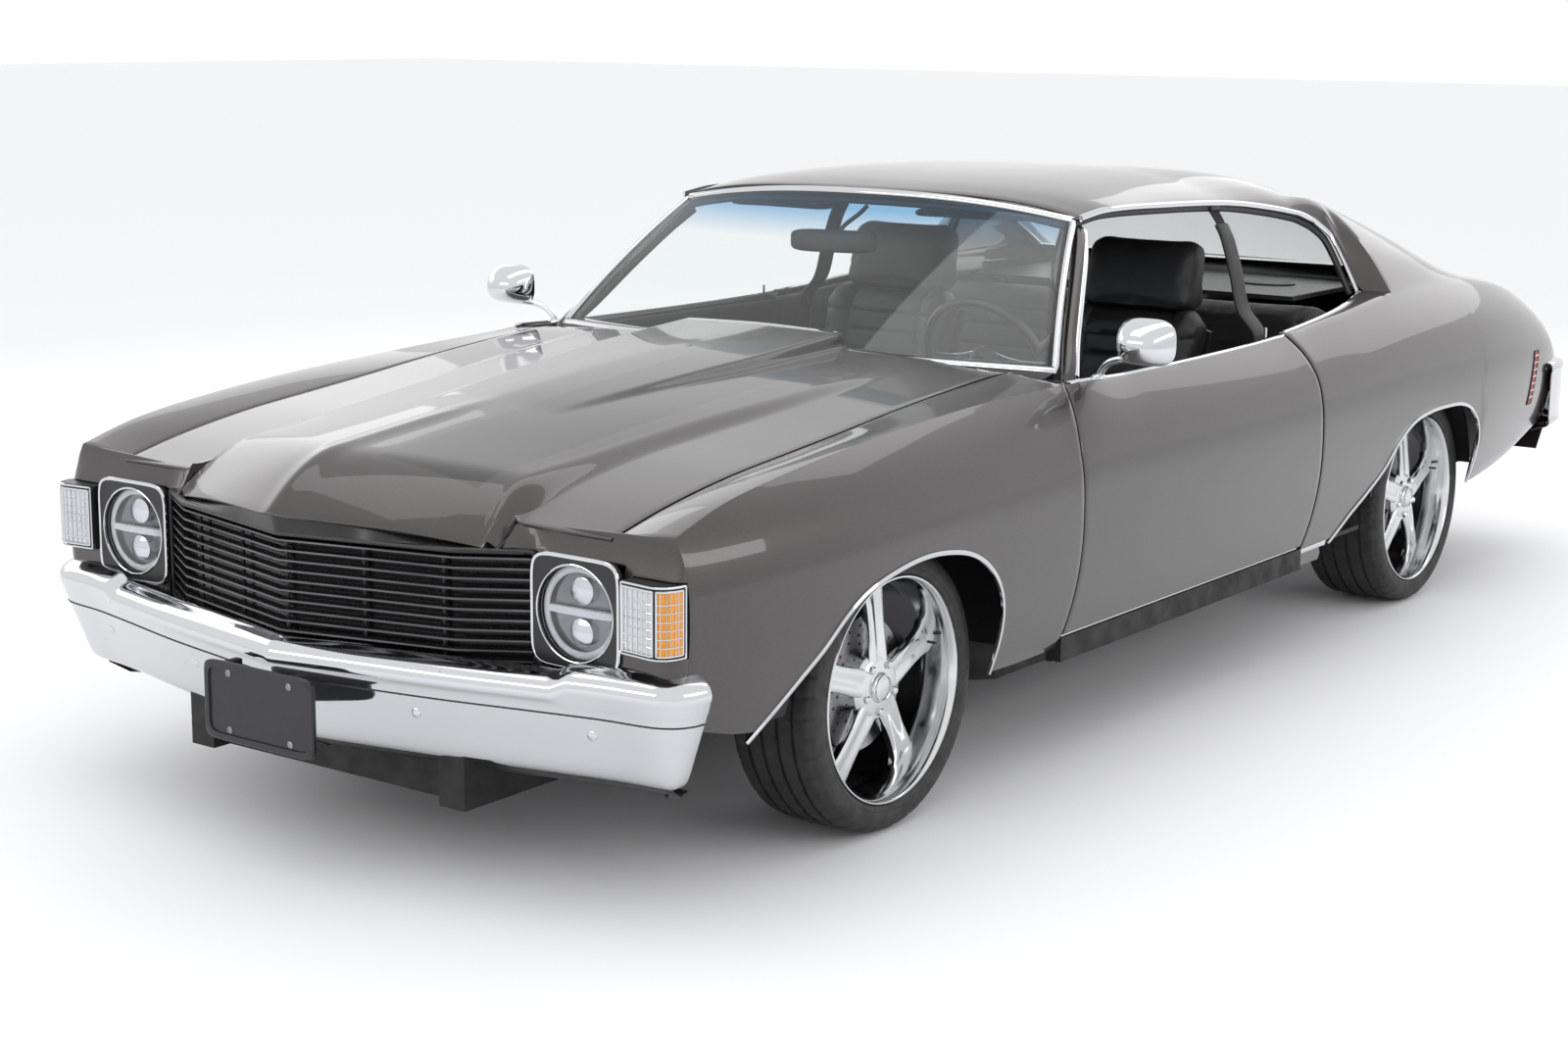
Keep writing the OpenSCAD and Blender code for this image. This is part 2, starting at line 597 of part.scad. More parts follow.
function bumper_line(o) = [[wx(934), st(-735)], [wx(928), st(-770)], [wx(905), st(-806)],
  [wx(860), st(-832)], [wx(740), st(-850)], [wx(600), st(-882)], [wx(400), st(-930)],
  [wx(200), st(-968)], [0, st(-1004)]];
bumper_base = [[22, 496, 0], [5, 490, 0], [0, 474, 0], [0, 450, 0], [6, 400, 0],
  [20, 330, 0], [40, 285, 0], [64, 272, 0]];
module front_bumper() {
  line = bumper_line(0);
  full = concat(line, [for (i = [7:-1:0]) [-line[i][0], line[i][1]]]);
  n = len(full);
  g = [for (i = [0:n - 1]) let(d = unit(full[min(n - 1, i + 1)] - full[max(0, i - 1)]),
      nn = [-d[1], d[0]], rise = 12 * max(0, min(1, (abs(full[i][0]) - wx(560)) / 60)))
    [for (k = [0:7]) [full[i][0] + nn[0] * -bumper_base[k][0], full[i][1] - y_mid
      + nn[1] * -bumper_base[k][0], bumper_base[k][1] + rise * (k < 4 ? 1 : 0)]]];
  color([0.9, 0.9, 0.92])
    sheet(g, bumper_t);
}
module plate_bracket() {
  color([0.05, 0.05, 0.05])
    place()
      difference() {
        union() {
          translate([-plate_w / 2, -front_overhang - plate_proud, 268])
            cube([plate_w, 10, plate_h]);
          both()
            box([90, 110], [-front_overhang - plate_proud, st(-985.6)], [418, 434]);
        }
        for (x = [-1, 1])
          for (z = [-1, 1])
            translate([x * plate_bolt_x / 2, -front_overhang - plate_proud - 1,
              268 + plate_h / 2 + z * plate_bolt_z / 2])
              rotate([-90, 0, 0])
                cylinder(h = 12, r = plate_hole_r);
      }
}
function rear_line() = [[wx(922), st(3790)], [wx(916), st(3880)], [wx(888), st(3966)],
  [wx(800), st(4000)], [wx(500), st(4010)], [0, st(4012)]];
tail_lamp_r = 78;
tail_lamp_x = [560, 742];
tail_lamp_z = 520;
rear_base = [[30, 636], [4, 630], [0, 612], [0, 440], [6, 424], [40, 412]];
module rear_bumper() {
  line = rear_line();
  full = concat(line, [for (i = [4:-1:0]) [-line[i][0], line[i][1]]]);
  n = len(full);
  g = [for (i = [0:n - 1]) let(d = unit(full[min(n - 1, i + 1)] - full[max(0, i - 1)]),
      nn = [-d[1], d[0]] * (abs(full[i][0]) > wx(880) ? 0.3 : 1))
    [for (k = [5:-1:0]) [full[i][0] + nn[0] * rear_base[k][0], full[i][1] - y_mid
      + nn[1] * rear_base[k][0], rear_base[k][1]]]];
  color([0.9, 0.9, 0.92])
    difference() {
      sheet(g, bumper_t);
      lamp_rods(tail_lamp_r, 200);
    }
}
module lamp_rods(r, len) {
  place()
    both()
      for (x = tail_lamp_x)
        translate([wx(x), st(3950), tail_lamp_z])
          rotate([-90, 0, 0])
            cylinder(h = len, r = r);
}
module tail_lamps() {
  color([0.6, 0.05, 0.05])
    lamp_rods(tail_lamp_r - 0.3, rear_overhang - ro0 + 52);
}

// ---- cabin side, floor and frame ----
hood_pin_y = hood_rear - 17;
hood_pin_z = curve(gap_z, 655) - 2 * skin - hinge_pin_r - 0.8;
cabin_y0 = door_front + 30;
cabin_y1 = rear_y - 445;
floor_z = 292;
tunnel_half = 150;
tunnel_z = 430;
fire_y = 560;
fire_z = 885;
tub_r = tyre_d / 2 + 62;
tub_w = rear_tyre_w + 60;
tub_t = 8;
trunk_z = 470;
trunk_y1 = rear_y + rear_overhang - 170;
wall_in = inner_x - 12;
module floor_pan() {
  color([0.1, 0.1, 0.1])
    place() {
      both() {
        box([tunnel_half, inner_x + 30], [fire_y, cabin_y1], [floor_z, floor_z + floor_t]);
        box([tunnel_half - floor_t, tunnel_half], [fire_y, cabin_y1],
          [floor_z, tunnel_z]);
        // sill box under the door
        box([inner_x + 29, inner_x + 66], [door_front - 5, door_end + 5],
          [floor_z - 36, sill_top - 4]);
        // front door post and the hinge leaves on it
        box([inner_x + 10, inner_x + 46], [door_front - 60, door_front - 14],
          [floor_z, 820]);
        for (z = [470, 640])
          box([inner_x + 36, axis_x - 20], [door_front - 22, door_front + 0.9], [z, z + 40]);
      }
      box([-tunnel_half, tunnel_half], [fire_y, cabin_y1], [tunnel_z, tunnel_z + floor_t]);
    }
}
fit = 0.2;
module firewall() {
  color([0.1, 0.1, 0.1])
    place() {
      difference() {
        box([-wall_in, wall_in], [fire_y, fire_y + floor_t], [floor_z + floor_t + fit, fire_z]);
        box([-tunnel_half - fit, tunnel_half + fit], [fire_y - 1, fire_y + floor_t + 1],
          [floor_z, tunnel_z + floor_t + fit]);
      }
      both() {
        // hood hinge lug and pin
        box([hood_half - 19, hood_half - 3], [fire_y, hood_pin_y + 3],
          [fire_z - 13, hood_pin_z - 1]);
        rod_x(hood_half - 50, hood_half - 3, hood_pin_y, hood_pin_z, hinge_pin_r);
      }
    }
}
// kick-up behind the rear seat and the trunk floor
module trunk_floor() {
  color([0.1, 0.1, 0.1])
    place() {
      difference() {
        box([-tub_in, tub_in], [cabin_y1 + fit, cabin_y1 + floor_t], [floor_z, trunk_z]);
        box([-tunnel_half + floor_t, tunnel_half - floor_t],
          [cabin_y1 - 1, cabin_y1 + floor_t + 1], [floor_z - 1, trunk_z - 20]);
      }
      box([-tub_in, tub_in], [cabin_y1 + fit, trunk_y1], [trunk_z, trunk_z + floor_t]);
    }
}
tub_out = tyre_out + 4;
tub_in = tyre_out - rear_tyre_w - 46;
front_tub_in = pin_x - tyre_d / 2 - 8;
front_tub_out = fender_top_half - 10;
front_tub_r = tyre_d / 2 + 66;
front_tub_z = wheel_z + 20;
module arch_shell(x0, x1, r, y) {
  translate([x0, y, wheel_z])
    rotate([0, 90, 0])
      difference() {
        cylinder(h = x1 - x0, r = r + tub_t);
        translate([0, 0, -tub_t])
          cylinder(h = x1 - x0, r = r);
        translate([-front_tub_z + wheel_z, -2 * r, -1])
          cube([2 * r, 4 * r, x1 - x0 + 2]);
      }
}
module wheelhouses() {
  color([0.07, 0.07, 0.07])
    place()
      both() {
        translate([tub_in, rear_y, wheel_z])
          rotate([0, 90, 0])
            difference() {
              cylinder(h = tub_out - tub_in, r = tub_r + tub_t);
              translate([0, 0, tub_t])
                cylinder(h = tub_out - tub_in, r = tub_r);
              translate([-60, -2 * tub_r, -1])
                cube([2 * tub_r, 4 * tub_r, tub_out - tub_in + 2]);
            }
        // front inner fender: side wall and cap
        difference() {
          box([front_tub_in - tub_t, front_tub_in], [-640, 378],
            [rail_z + rail_h + 0.3, front_tub_top + tub_t]);
          box([front_tub_in - 2 * tub_t, front_tub_in + tub_t], [-160, 160],
            [rail_z + rail_h - 1, arm_hi + 40]);
        }
        box([front_tub_in, front_tub_out], [-640, 430],
          [front_tub_top, front_tub_top + tub_t]);
      }
}
front_tub_top = 720;
module side_trim() {
  color([0.05, 0.05, 0.05])
    place()
      both()
        difference() {
          box([inner_x - 30, inner_x + 30], [door_end + 12, cabin_y1], [sill_top + 4, 880]);
          translate([inner_x - 40, rear_y, wheel_z])
            rotate([0, 90, 0])
              cylinder(h = 90, r = tub_r + tub_t + 1);
        }
}
kick_y = 560;
rail_in = side_rail_x - rail_w / 2;
rail_out = side_rail_x + rail_w / 2;
back_rail_x = 500;
back_rail_h = 60;
riser_y = cabin_y1 + 14;
iron_y = st(-923.0);
module frame() {
  fx = front_rail_x - rail_w / 2;
  gx = front_rail_x + rail_w / 2;
  bx = back_rail_x - rail_w / 2;
  cx = back_rail_x + rail_w / 2;
  ye = rear_y + rear_overhang - 190;
  color([0.05, 0.05, 0.05])
    place() {
      both() {
        translate([0, 0, rail_z])
          linear_extrude(rail_h)
            polygon([[fx, -front_overhang + 190], [gx, -front_overhang + 190], [gx, 380],
              [rail_out, kick_y + 130], [rail_out, cabin_y1 - 120], [rail_out - 60,
                cabin_y1 - 40], [rail_out - 130, cabin_y1 - 40], [rail_in, cabin_y1 - 130],
              [rail_in, kick_y + 160], [fx, 410]]);
        // rear rails rise over the axle
        box([bx, cx], [riser_y, ye], [trunk_z - back_rail_h, trunk_z]);
        box([bx, rail_out - 130 + 0.5], [cabin_y1 - 130, cabin_y1 - 40],
          [rail_z, rail_z + rail_h]);
        box([bx, cx], [cabin_y1 - 130, riser_y + 50], [rail_z, rail_z + rail_h]);
        box([bx, cx], [riser_y, riser_y + 50], [rail_z, trunk_z]);
        // bumper irons
        box([fx, gx], [-front_overhang + 144, -front_overhang + 200], [rail_z, 474]);
        box([fx, gx], [iron_y, -front_overhang + 190], [440, 474]);
        box([bx - 40, bx + 12], [ye - 60, st(3980)], [446, trunk_z]);
        box([bx - 40, bx + 12], [trunk_y1 + 1, st(4003.4)], [446, 500]);
      }
      box([-fx - 1, fx + 1], [-90, 60], [rail_z, engine_z]);
      box([-rail_in - 1, rail_in + 1], [1150, 1230], [rail_z + 66, rail_z + rail_h]);
      box([-bx - 1, bx + 1], [cabin_y1 - 110, cabin_y1 - 50], [rail_z + 20, rail_z + 80]);
      box([-bx - 1, bx + 1], [ye - 60, ye], [trunk_z - 80, trunk_z]);
      box([-fx - 1, fx + 1], [-front_overhang + 190, -front_overhang + 240],
        [rail_z, rail_z + 80]);
    }
}
engine_y = -330;
engine_z = 250;
module engine() {
  color([0.3, 0.3, 0.32])
    place()
      box([-engine_w / 2, engine_w / 2], [engine_y, engine_y + engine_len],
        [engine_z, engine_z + engine_h]);
}
shaft_r = 40;
module drivetrain() {
  color([0.25, 0.25, 0.27])
    place() {
      translate([0, engine_y + engine_len, engine_z + 80])
        rotate([-90, 0, 0])
          cylinder(h = 560, r1 = 105, r2 = 80, $fn = 24);
      translate([0, engine_y + engine_len + 559, engine_z + 80])
        rotate([-90, 0, 0])
          cylinder(h = rear_y - 130 - engine_y - engine_len - 559, r = shaft_r);
    }
}
drum_x = hub_x - 40;
module rear_axle() {
  color([0.2, 0.2, 0.2])
    place() {
      rod_x(-84, 84, rear_y, wheel_z, 106);
      rod_x(-drum_x + 40, drum_x - 40, rear_y, wheel_z, axle_r);
      both() {
        rod_x(drum_x - 52, drum_x, rear_y, wheel_z, disc_d / 2 - 20);
        rod_x(drum_x - 10, hub_x + 20, rear_y, wheel_z, hub_bore_r - bore_gap);
        // spring seat up to the rail
        translate([back_rail_x, rear_y, wheel_z + axle_r - 6])
          cylinder(h = trunk_z - back_rail_h - wheel_z - axle_r + 5.7, r = 34);
      }
    }
}
pipe_x = 250;
pipe_z = 200;
module exhaust() {
  color([0.5, 0.5, 0.52])
    place()
      both() {
        box([engine_w / 2 + 0.3, engine_w / 2 + 30], [engine_y + 480, engine_y + 570],
          [engine_z + 30, engine_z + 100]);
        tube([for (p = [[engine_w / 2 + 36, engine_y + 520, engine_z + 60],
          [engine_w / 2 + 36, engine_y + 640, engine_z], [pipe_x, 430, pipe_z],
          [pipe_x, 900, pipe_z], [pipe_x, 1340, pipe_z], [pipe_x + 30, 1420, pipe_z]]) p],
          pipe_r);
        translate([pipe_x + 30, 1410, pipe_z])
          rotate([-90, 0, 0])
            scale([1.6, 1, 1])
              cylinder(h = 480, r = 66, $fn = 24);
        tube([for (p = [[pipe_x + 30, 1880, pipe_z], [pipe_x + 40, 2100, pipe_z - 2]]) p],
          pipe_r);
      }
}
module fuel_tank() {
  color([0.12, 0.12, 0.12])
    place()
      box([-420, 420], [rear_y + 330, rear_y + 820], [trunk_z - 190, trunk_z - 0.3]);
}
module radiator() {
  color([0.1, 0.1, 0.1])
    place() {
      box([-360, 360], [-700, -640], [rail_z + rail_h, 690]);
      box([-front_tub_out, front_tub_out], [-735, -700], [rail_z + rail_h + 60, 700]);
    }
}
// ---- front running gear ----
joint_r = 16;
arm_lo = wheel_z - 112;
arm_hi = wheel_z + 112;
arm_x0 = front_rail_x + rail_w / 2 + 0.3;
module front_suspension() {
  color([0.12, 0.12, 0.12])
    place()
      both() {
        // tower that carries the upper arm
        box([front_rail_x, arm_x0 + 20], [-60, 60],
          [rail_z + rail_h + 0.3, arm_hi + 12]);
        for (z = [arm_lo, arm_hi])
          difference() {
            union() {
              translate([0, 0, z - 12])
                linear_extrude(24)
                  polygon([[arm_x0, -110], [pin_x - 10, -22], [pin_x - 10, 22],
                    [arm_x0, 110]]);
              translate([pin_x, 0, z - 12])
                cylinder(h = 24, r = joint_r + 12);
            }
            translate([pin_x, 0, z - 13])
              cylinder(h = 26, r = joint_r + bore_gap);
          }
      }
}
module knuckle() {
  place() {
    translate([pin_x, 0, arm_lo - 12])
      cylinder(h = arm_hi - arm_lo + 24, r = joint_r);
    translate([pin_x, 0, arm_lo + 14])
      cylinder(h = arm_hi - arm_lo - 28, r = joint_r + 14);
    rod_x(pin_x, drum_x, 0, wheel_z, 40);
    rod_x(pin_x, hub_x + 20, 0, wheel_z, hub_bore_r - bore_gap);
    box([pin_x - 16, pin_x + 10], [0, 120], [arm_lo + 22, arm_lo + 44]);
  }
}
module knuckle_left() {
  color([0.3, 0.3, 0.3])
    knuckle();
}
module knuckle_right() {
  color([0.3, 0.3, 0.3])
    mirror([1, 0, 0])
      knuckle();
}
tyre_round = 34;
module tyre(w) {
  rotate([0, 90, 0])
    rotate_extrude($fn = 72)
      polygon(concat([[rim_d / 2 - 7.7, 15.8], [rim_d / 2 + 0.4, 14.8], [rim_d / 2 + 6, 5]],
        [for (a = [0:15:90]) [tyre_d / 2 - tyre_round + tyre_round * sin(a),
          tyre_round * (1 - cos(a)) + 1]],
        [for (a = [90:-15:0]) [tyre_d / 2 - tyre_round + tyre_round * sin(a),
          w - tyre_round * (1 - cos(a)) - 1]],
        [[rim_d / 2 + 6, w - 5], [rim_d / 2 + 0.4, w - 14.8], [rim_d / 2 - 7.7, w - 15.8]]));
}
// rim, spokes, hub and disc, outer side at x = 0, going inboard
module rim(w) {
  depth = hub_depth;
  rotate([0, -90, 0])
    difference() {
      union() {
        rotate_extrude($fn = 72)
          polygon([[rim_d / 2 - 22, 10], [rim_d / 2, 8], [rim_d / 2, 14],
            [rim_d / 2 - 8, 15], [rim_d / 2 - 8, w - 15], [rim_d / 2, w - 14],
            [rim_d / 2, w - 8], [rim_d / 2 - 22, w - 10], [rim_d / 2 - 24, w - 40],
            [rim_d / 2 - 24, depth + 40], [rim_d / 2 - 30, depth - 20],
            [rim_d / 2 - 22, depth - 40]]);
        translate([0, 0, depth - 34])
          cylinder(h = 50, r = 78);
        for (k = [0:spoke_count - 1])
          rotate([0, 0, 360 * k / spoke_count + 90])
            translate([60, -27, depth - 26])
              cube([rim_d / 2 - 84, 54, 34]);
        translate([0, 0, depth + 15])
          cylinder(h = 20, r = disc_d / 2);
      }
      translate([0, 0, depth - 25])
        cylinder(h = 80, r = hub_bore_r);
    }
}
module wheel_spot(side, y) {
  place()
    mirror([side < 0 ? 1 : 0, 0, 0])
      translate([tyre_out, y, wheel_z])
        children();
}
module tyre_at(side, y, w) {
  color([0.03, 0.03, 0.03])
    wheel_spot(side, y)
      translate([-w, 0, 0])
        tyre(w);
}
module rim_at(side, y, w) {
  color([0.85, 0.86, 0.88])
    wheel_spot(side, y)
      rim(w);
}
module tyre_fl() {
  tyre_at(1, 0, tyre_w);
}
module tyre_fr() {
  tyre_at(-1, 0, tyre_w);
}
module tyre_rl() {
  tyre_at(1, rear_y, rear_tyre_w);
}
module tyre_rr() {
  tyre_at(-1, rear_y, rear_tyre_w);
}
module wheel_fl() {
  rim_at(1, 0, tyre_w);
}
module wheel_fr() {
  rim_at(-1, 0, tyre_w);
}
module wheel_rl() {
  rim_at(1, rear_y, rear_tyre_w);
}
module wheel_rr() {
  rim_at(-1, rear_y, rear_tyre_w);
}

// ---- cabin ----
dash_y = fire_y + floor_t;
dash_back = dash_y + 420;
module dashboard() {
  color([0.04, 0.04, 0.04])
    place()
      difference() {
        translate([-wall_in + 60, 0, 0])
          rotate([90, 0, 90])
            linear_extrude(2 * wall_in - 120)
              polygon([[dash_y, 760], [dash_y + 300, 640], [dash_back - 30, 650],
                [dash_back, 720], [dash_back, 810], [dash_back - 60, 872],
                [dash_y + 265, 872], [dash_y + 258, 856], [dash_y, 856]]);
        helm_place()
          translate([0, 0, -900])
            cylinder(h = 900, r = column_r + 0.3);
      }
}
helm_y = dash_back + 150;
helm_z = 870;
helm_tilt = 65;
column_r = 28;
column_len = (helm_y - dash_y - column_r * cos(helm_tilt) - 0.4) / sin(helm_tilt);
helm_drop = 34;
module helm_place() {
  translate([helm_x, helm_y, helm_z])
    rotate([-helm_tilt, 0, 0])
      children();
}
module steering_column() {
  color([0.05, 0.05, 0.05])
    place()
      helm_place()
        translate([0, 0, -column_len])
          cylinder(h = column_len - helm_drop, r = column_r);
}
module steering_wheel() {
  color([0.03, 0.03, 0.03])
    place()
      helm_place() {
        rotate_extrude($fn = 64)
          translate([helm_d / 2 - helm_t / 2, 0])
            circle(r = helm_t / 2, $fn = 20);
        translate([0, 0, -helm_drop + 0.3])
          cylinder(h = helm_drop + 6, r = 40);
        for (a = [0, 180, 90])
          rotate([0, 0, a])
            translate([30, -14, -8])
              cube([helm_d / 2 - helm_t / 2 - 30, 28, 8]);
      }
}
seat_y = helm_y + 110;
seat_base = floor_z + floor_t;
module seat() {
  translate([seat_x - seat_w / 2, seat_y, 0])
    rotate([90, 0, 90])
      linear_extrude(seat_w)
        polygon([[0, seat_z - 140], [5, seat_z - 35], [60, seat_z], [320, seat_z - 15],
          [450, seat_z - 5], [580, seat_z + seat_back_h - 240],
          [640, seat_z + seat_back_h - 30], [690, seat_z + seat_back_h],
          [735, seat_z + seat_back_h - 30], [720, seat_z + seat_back_h - 160],
          [640, seat_z + 280], [580, seat_z - 80], [555, seat_z - 140]]);
  box([seat_x - 170, seat_x + 170], [seat_y + 60, seat_y + 500],
    [seat_base, seat_z - 139]);
}
module seat_left() {
  color([0.04, 0.04, 0.045])
    place()
      seat();
}
module seat_right() {
  color([0.04, 0.04, 0.045])
    place()
      mirror([1, 0, 0])
        seat();
}
bench_half = inner_x - 110;
bench_y = cabin_y1 - 2;
module rear_seat() {
  color([0.04, 0.04, 0.045])
    place()
      difference() {
        translate([-bench_half, bench_y, 0])
          rotate([90, 0, 90])
            linear_extrude(2 * bench_half)
              polygon([[-400, seat_base + 0.3], [-410, 440], [-370, 485], [-90, 470],
                [40, 905], [75, 930], [150, 930], [150, 905], [30, trunk_z + floor_t + 1],
                [-1, trunk_z + floor_t + 0.5], [-1, seat_base + 0.3]]);
        box([-tunnel_half - 0.3, tunnel_half + 0.3], [bench_y - 500, bench_y + 3],
          [0, tunnel_z + floor_t + 0.3]);
      }
}
shelf_z = 918;
shelf_t = 12;
shelf_half = 560;
shelf_y1 = st(3186);
module parcel_shelf() {
  color([0.05, 0.05, 0.05])
    place() {
      both()
        rod_x(shelf_half - 4, arm_x + arm_t / 2 + 4, st(lid_pin_s), lid_pin_z, lid_pin_r);
      translate([-shelf_half, 0, 0])
        rotate([90, 0, 90])
          linear_extrude(2 * shelf_half)
            polygon([[bench_y + 150.3, shelf_z], [shelf_y1 - 70, shelf_z],
              [shelf_y1, 960 - shelf_t], [shelf_y1, 960], [shelf_y1 - 74, shelf_z + shelf_t],
              [bench_y + 150.3, shelf_z + shelf_t]]);
    }
}

module inside_mirror() {
  color([0.1, 0.1, 0.1])
    place() {
      translate([-95, 1112, hz(1150)])
        rotate([0, 6, 14])
          cube([245, 22, 62], center = true);
      bar([[-92, 1118, hz(1150)], [-50, 1140, hz(1205)], [-10, 1146, hz(1244.2)]],
        [1, 0, 0], 14, 10);
    }
}
belt_y = door_end - 8;
module seat_belts() {
  color([0.03, 0.03, 0.03])
    place()
      both()
        bar([[wx(600), belt_y, hz(1232)], [wx(652), belt_y, hz(1150)],
          [wx(706), belt_y, hz(960)], [inner_x - 70, belt_y, 860],
          [inner_x - 72, belt_y, 620], [inner_x - 50, belt_y, 330]], [0, 1, 0], 60, 14);
}
mirror_y = 842;
mirror_z = 998;
mirror_x = 992;
module door_mirror() {
  place() {
    hull() {
      translate([mirror_x, mirror_y, mirror_z])
        cube([148, 10, 112], center = true);
      translate([mirror_x, mirror_y - 52, mirror_z - 6])
        cube([70, 4, 50], center = true);
    }
    hull() {
      translate([wx(856), 862, curve(crest_z, 862) - 0.7])
        cylinder(h = 6, r = 14);
      translate([wx(856), 862, 906])
        cylinder(h = 4, r = 10);
    }
    bar([[wx(856), 862, 906], [wx(886), 856, 938], [mirror_x - 40, mirror_y - 14,
      mirror_z - 46]], [0, 1, 0], 18, 14);
  }
}
module mirror_left() {
  color([0.9, 0.9, 0.92])
    door_mirror();
}
module mirror_right() {
  color([0.9, 0.9, 0.92])
    mirror([1, 0, 0])
      door_mirror();
}

frame();
floor_pan();
firewall();
trunk_floor();
wheelhouses();
engine();
drivetrain();
rear_axle();
exhaust();
fuel_tank();
front_suspension();
radiator();
cowl();
windshield_frame();
roof();
sail_panels();
quarter_left();
quarter_right();
side_trim();
rear_deck();
tail_panel();
fender_left();
fender_right();
header_panel();
front_bumper();
plate_bracket();
rear_bumper();
grille();
headlights();
corner_lamps();
tail_lamps();
windshield();
rear_glass();
dashboard();
steering_column();
seat_left();
seat_right();
rear_seat();
parcel_shelf();
inside_mirror();
seat_belts();
door_left();
door_right();
mirror_left();
mirror_right();
hood();
trunk_lid();
steering_wheel();
knuckle_left();
knuckle_right();
tyre_fl();
tyre_fr();
tyre_rl();
tyre_rr();
wheel_fl();
wheel_fr();
wheel_rl();
wheel_rr();
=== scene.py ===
"""The looks of a two-door hardtop muscle car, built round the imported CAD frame.

Shapes are drawn in millimetres by station (0 at the front axle, + rearwards), as in the CAD source,
and to_row() turns them into the row frame in metres.
"""

import math

import bmesh
import bpy
import numpy as np
from mathutils import Matrix, Vector


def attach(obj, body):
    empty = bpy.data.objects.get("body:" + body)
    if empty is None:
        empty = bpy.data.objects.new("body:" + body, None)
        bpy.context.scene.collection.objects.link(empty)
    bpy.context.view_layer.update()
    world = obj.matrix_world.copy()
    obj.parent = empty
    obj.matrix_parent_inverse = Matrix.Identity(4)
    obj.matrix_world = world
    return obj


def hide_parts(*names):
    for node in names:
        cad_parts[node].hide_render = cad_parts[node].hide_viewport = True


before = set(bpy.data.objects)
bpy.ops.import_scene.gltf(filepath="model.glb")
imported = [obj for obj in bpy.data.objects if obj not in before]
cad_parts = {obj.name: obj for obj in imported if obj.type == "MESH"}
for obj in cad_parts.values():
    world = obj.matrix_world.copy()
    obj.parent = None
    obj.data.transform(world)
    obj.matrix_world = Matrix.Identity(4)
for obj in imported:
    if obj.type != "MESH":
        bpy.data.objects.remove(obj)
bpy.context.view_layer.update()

# ---- sizes, in millimetres ----
Y_MID = 1489.0
WHEELBASE = 2845.0
WIDE_Z = 600.0
TUCK = 0.00065
DOOR_FRONT, DOOR_REAR, GAP = 640.0, 1930.0, 6.0
SILL_TOP = 318.0
HOOD_HALF, HOOD_REAR = 709.0, 672.0
LID_HALF, LID_S0, LID_S1 = 640.0, 3229.0, 3860.0
INNER_X = 839.5
TYRE_R, WHEEL_Z, TYRE_OUT = 316.0, 316.0, 869.5
SEAT_X = 402
HELM = (370.0, 1142.0, 870.0)
HELM_TILT = math.radians(65)


# ---- camera ----
def make_camera():
    yaw, pitch, roll = 0.630963, 0.196423, 0.008447
    ahead = Vector((-math.sin(yaw) * math.cos(pitch), math.cos(yaw) * math.cos(pitch), -math.sin(pitch)))
    right = ahead.cross(Vector((0, 0, 1))).normalized()
    up = right.cross(ahead)
    c, s = math.cos(roll), math.sin(roll)
    right, up = c * right + s * up, c * up - s * right
    turn = Matrix((right, up, -ahead)).transposed().to_4x4()
    camera = bpy.data.objects.new("camera", bpy.data.cameras.new("camera"))
    camera.data.lens, camera.data.sensor_width = 58.91, 36
    camera.data.clip_start, camera.data.clip_end = 0.05, 200
    camera.matrix_world = Matrix.Translation((3.82469, -5.95362, 1.75076)) @ turn
    bpy.context.collection.objects.link(camera)
    bpy.context.scene.camera = camera


make_camera()


# ---- curves and meshes ----
def curve(table, s):
    """Smooth curve through [station, value] pairs, held flat beyond its ends."""
    t = np.asarray(table, float)
    x, v = t[:, 0], t[:, 1:]
    s = np.clip(np.asarray(s, float), x[0], x[-1])
    m = np.empty_like(v)
    m[1:-1] = (v[2:] - v[:-2]) / (x[2:] - x[:-2])[:, None]
    m[0], m[-1] = (v[1] - v[0]) / (x[1] - x[0]), (v[-1] - v[-2]) / (x[-1] - x[-2])
    i = np.clip(np.searchsorted(x, s, side="right") - 1, 0, len(x) - 2)
    h = (x[i + 1] - x[i])[..., None]
    u = (s - x[i])[..., None] / h
    out = (v[i] * (2 * u**3 - 3 * u**2 + 1) + m[i] * h * (u**3 - 2 * u**2 + u)
           + v[i + 1] * (3 * u**2 - 2 * u**3) + m[i + 1] * h * (u**3 - u**2))
    return out[..., 0] if v.shape[1] == 1 else out


def angles(n):
    """n angles, evenly round a full turn."""
    return np.linspace(0, 2 * math.pi, n, endpoint=False)


def column(a, b, n):
    return np.linspace(a, b, n)[:, None]


def row(a, b, n):
    return np.linspace(a, b, n)[None, :]


def mix(a, b, u):
    return a + (b - a) * u


def ease(u):
    u = np.clip(u, 0, 1)
    return u * u * (3 - 2 * u)


def points(x, s, z):
    x, s, z = np.broadcast_arrays(np.asarray(x, float), s, z)
    return np.stack([x, s, z], -1)


def to_row(p):
    p = np.array(p, float)
    p[..., 1] -= Y_MID
    return p / 1000


def smooth_path(pts, n):
    """n points along a smooth curve through the given ones."""
    pts = np.asarray(pts, float)
    t = np.concatenate([[0], np.cumsum(np.linalg.norm(np.diff(pts, axis=0), axis=1))])
    return curve(np.column_stack([t, pts]), np.linspace(0, t[-1], n))


def grid_faces(n, m, start=0, flip=False, wrap=False):
    faces = []
    for i in range(n - 1):
        for j in range(m if wrap else m - 1):
            k = (j + 1) % m
            f = [start + i * m + j, start + (i + 1) * m + j, start + (i + 1) * m + k, start + i * m + k]
            faces.append(f[::-1] if flip else f)
    return faces


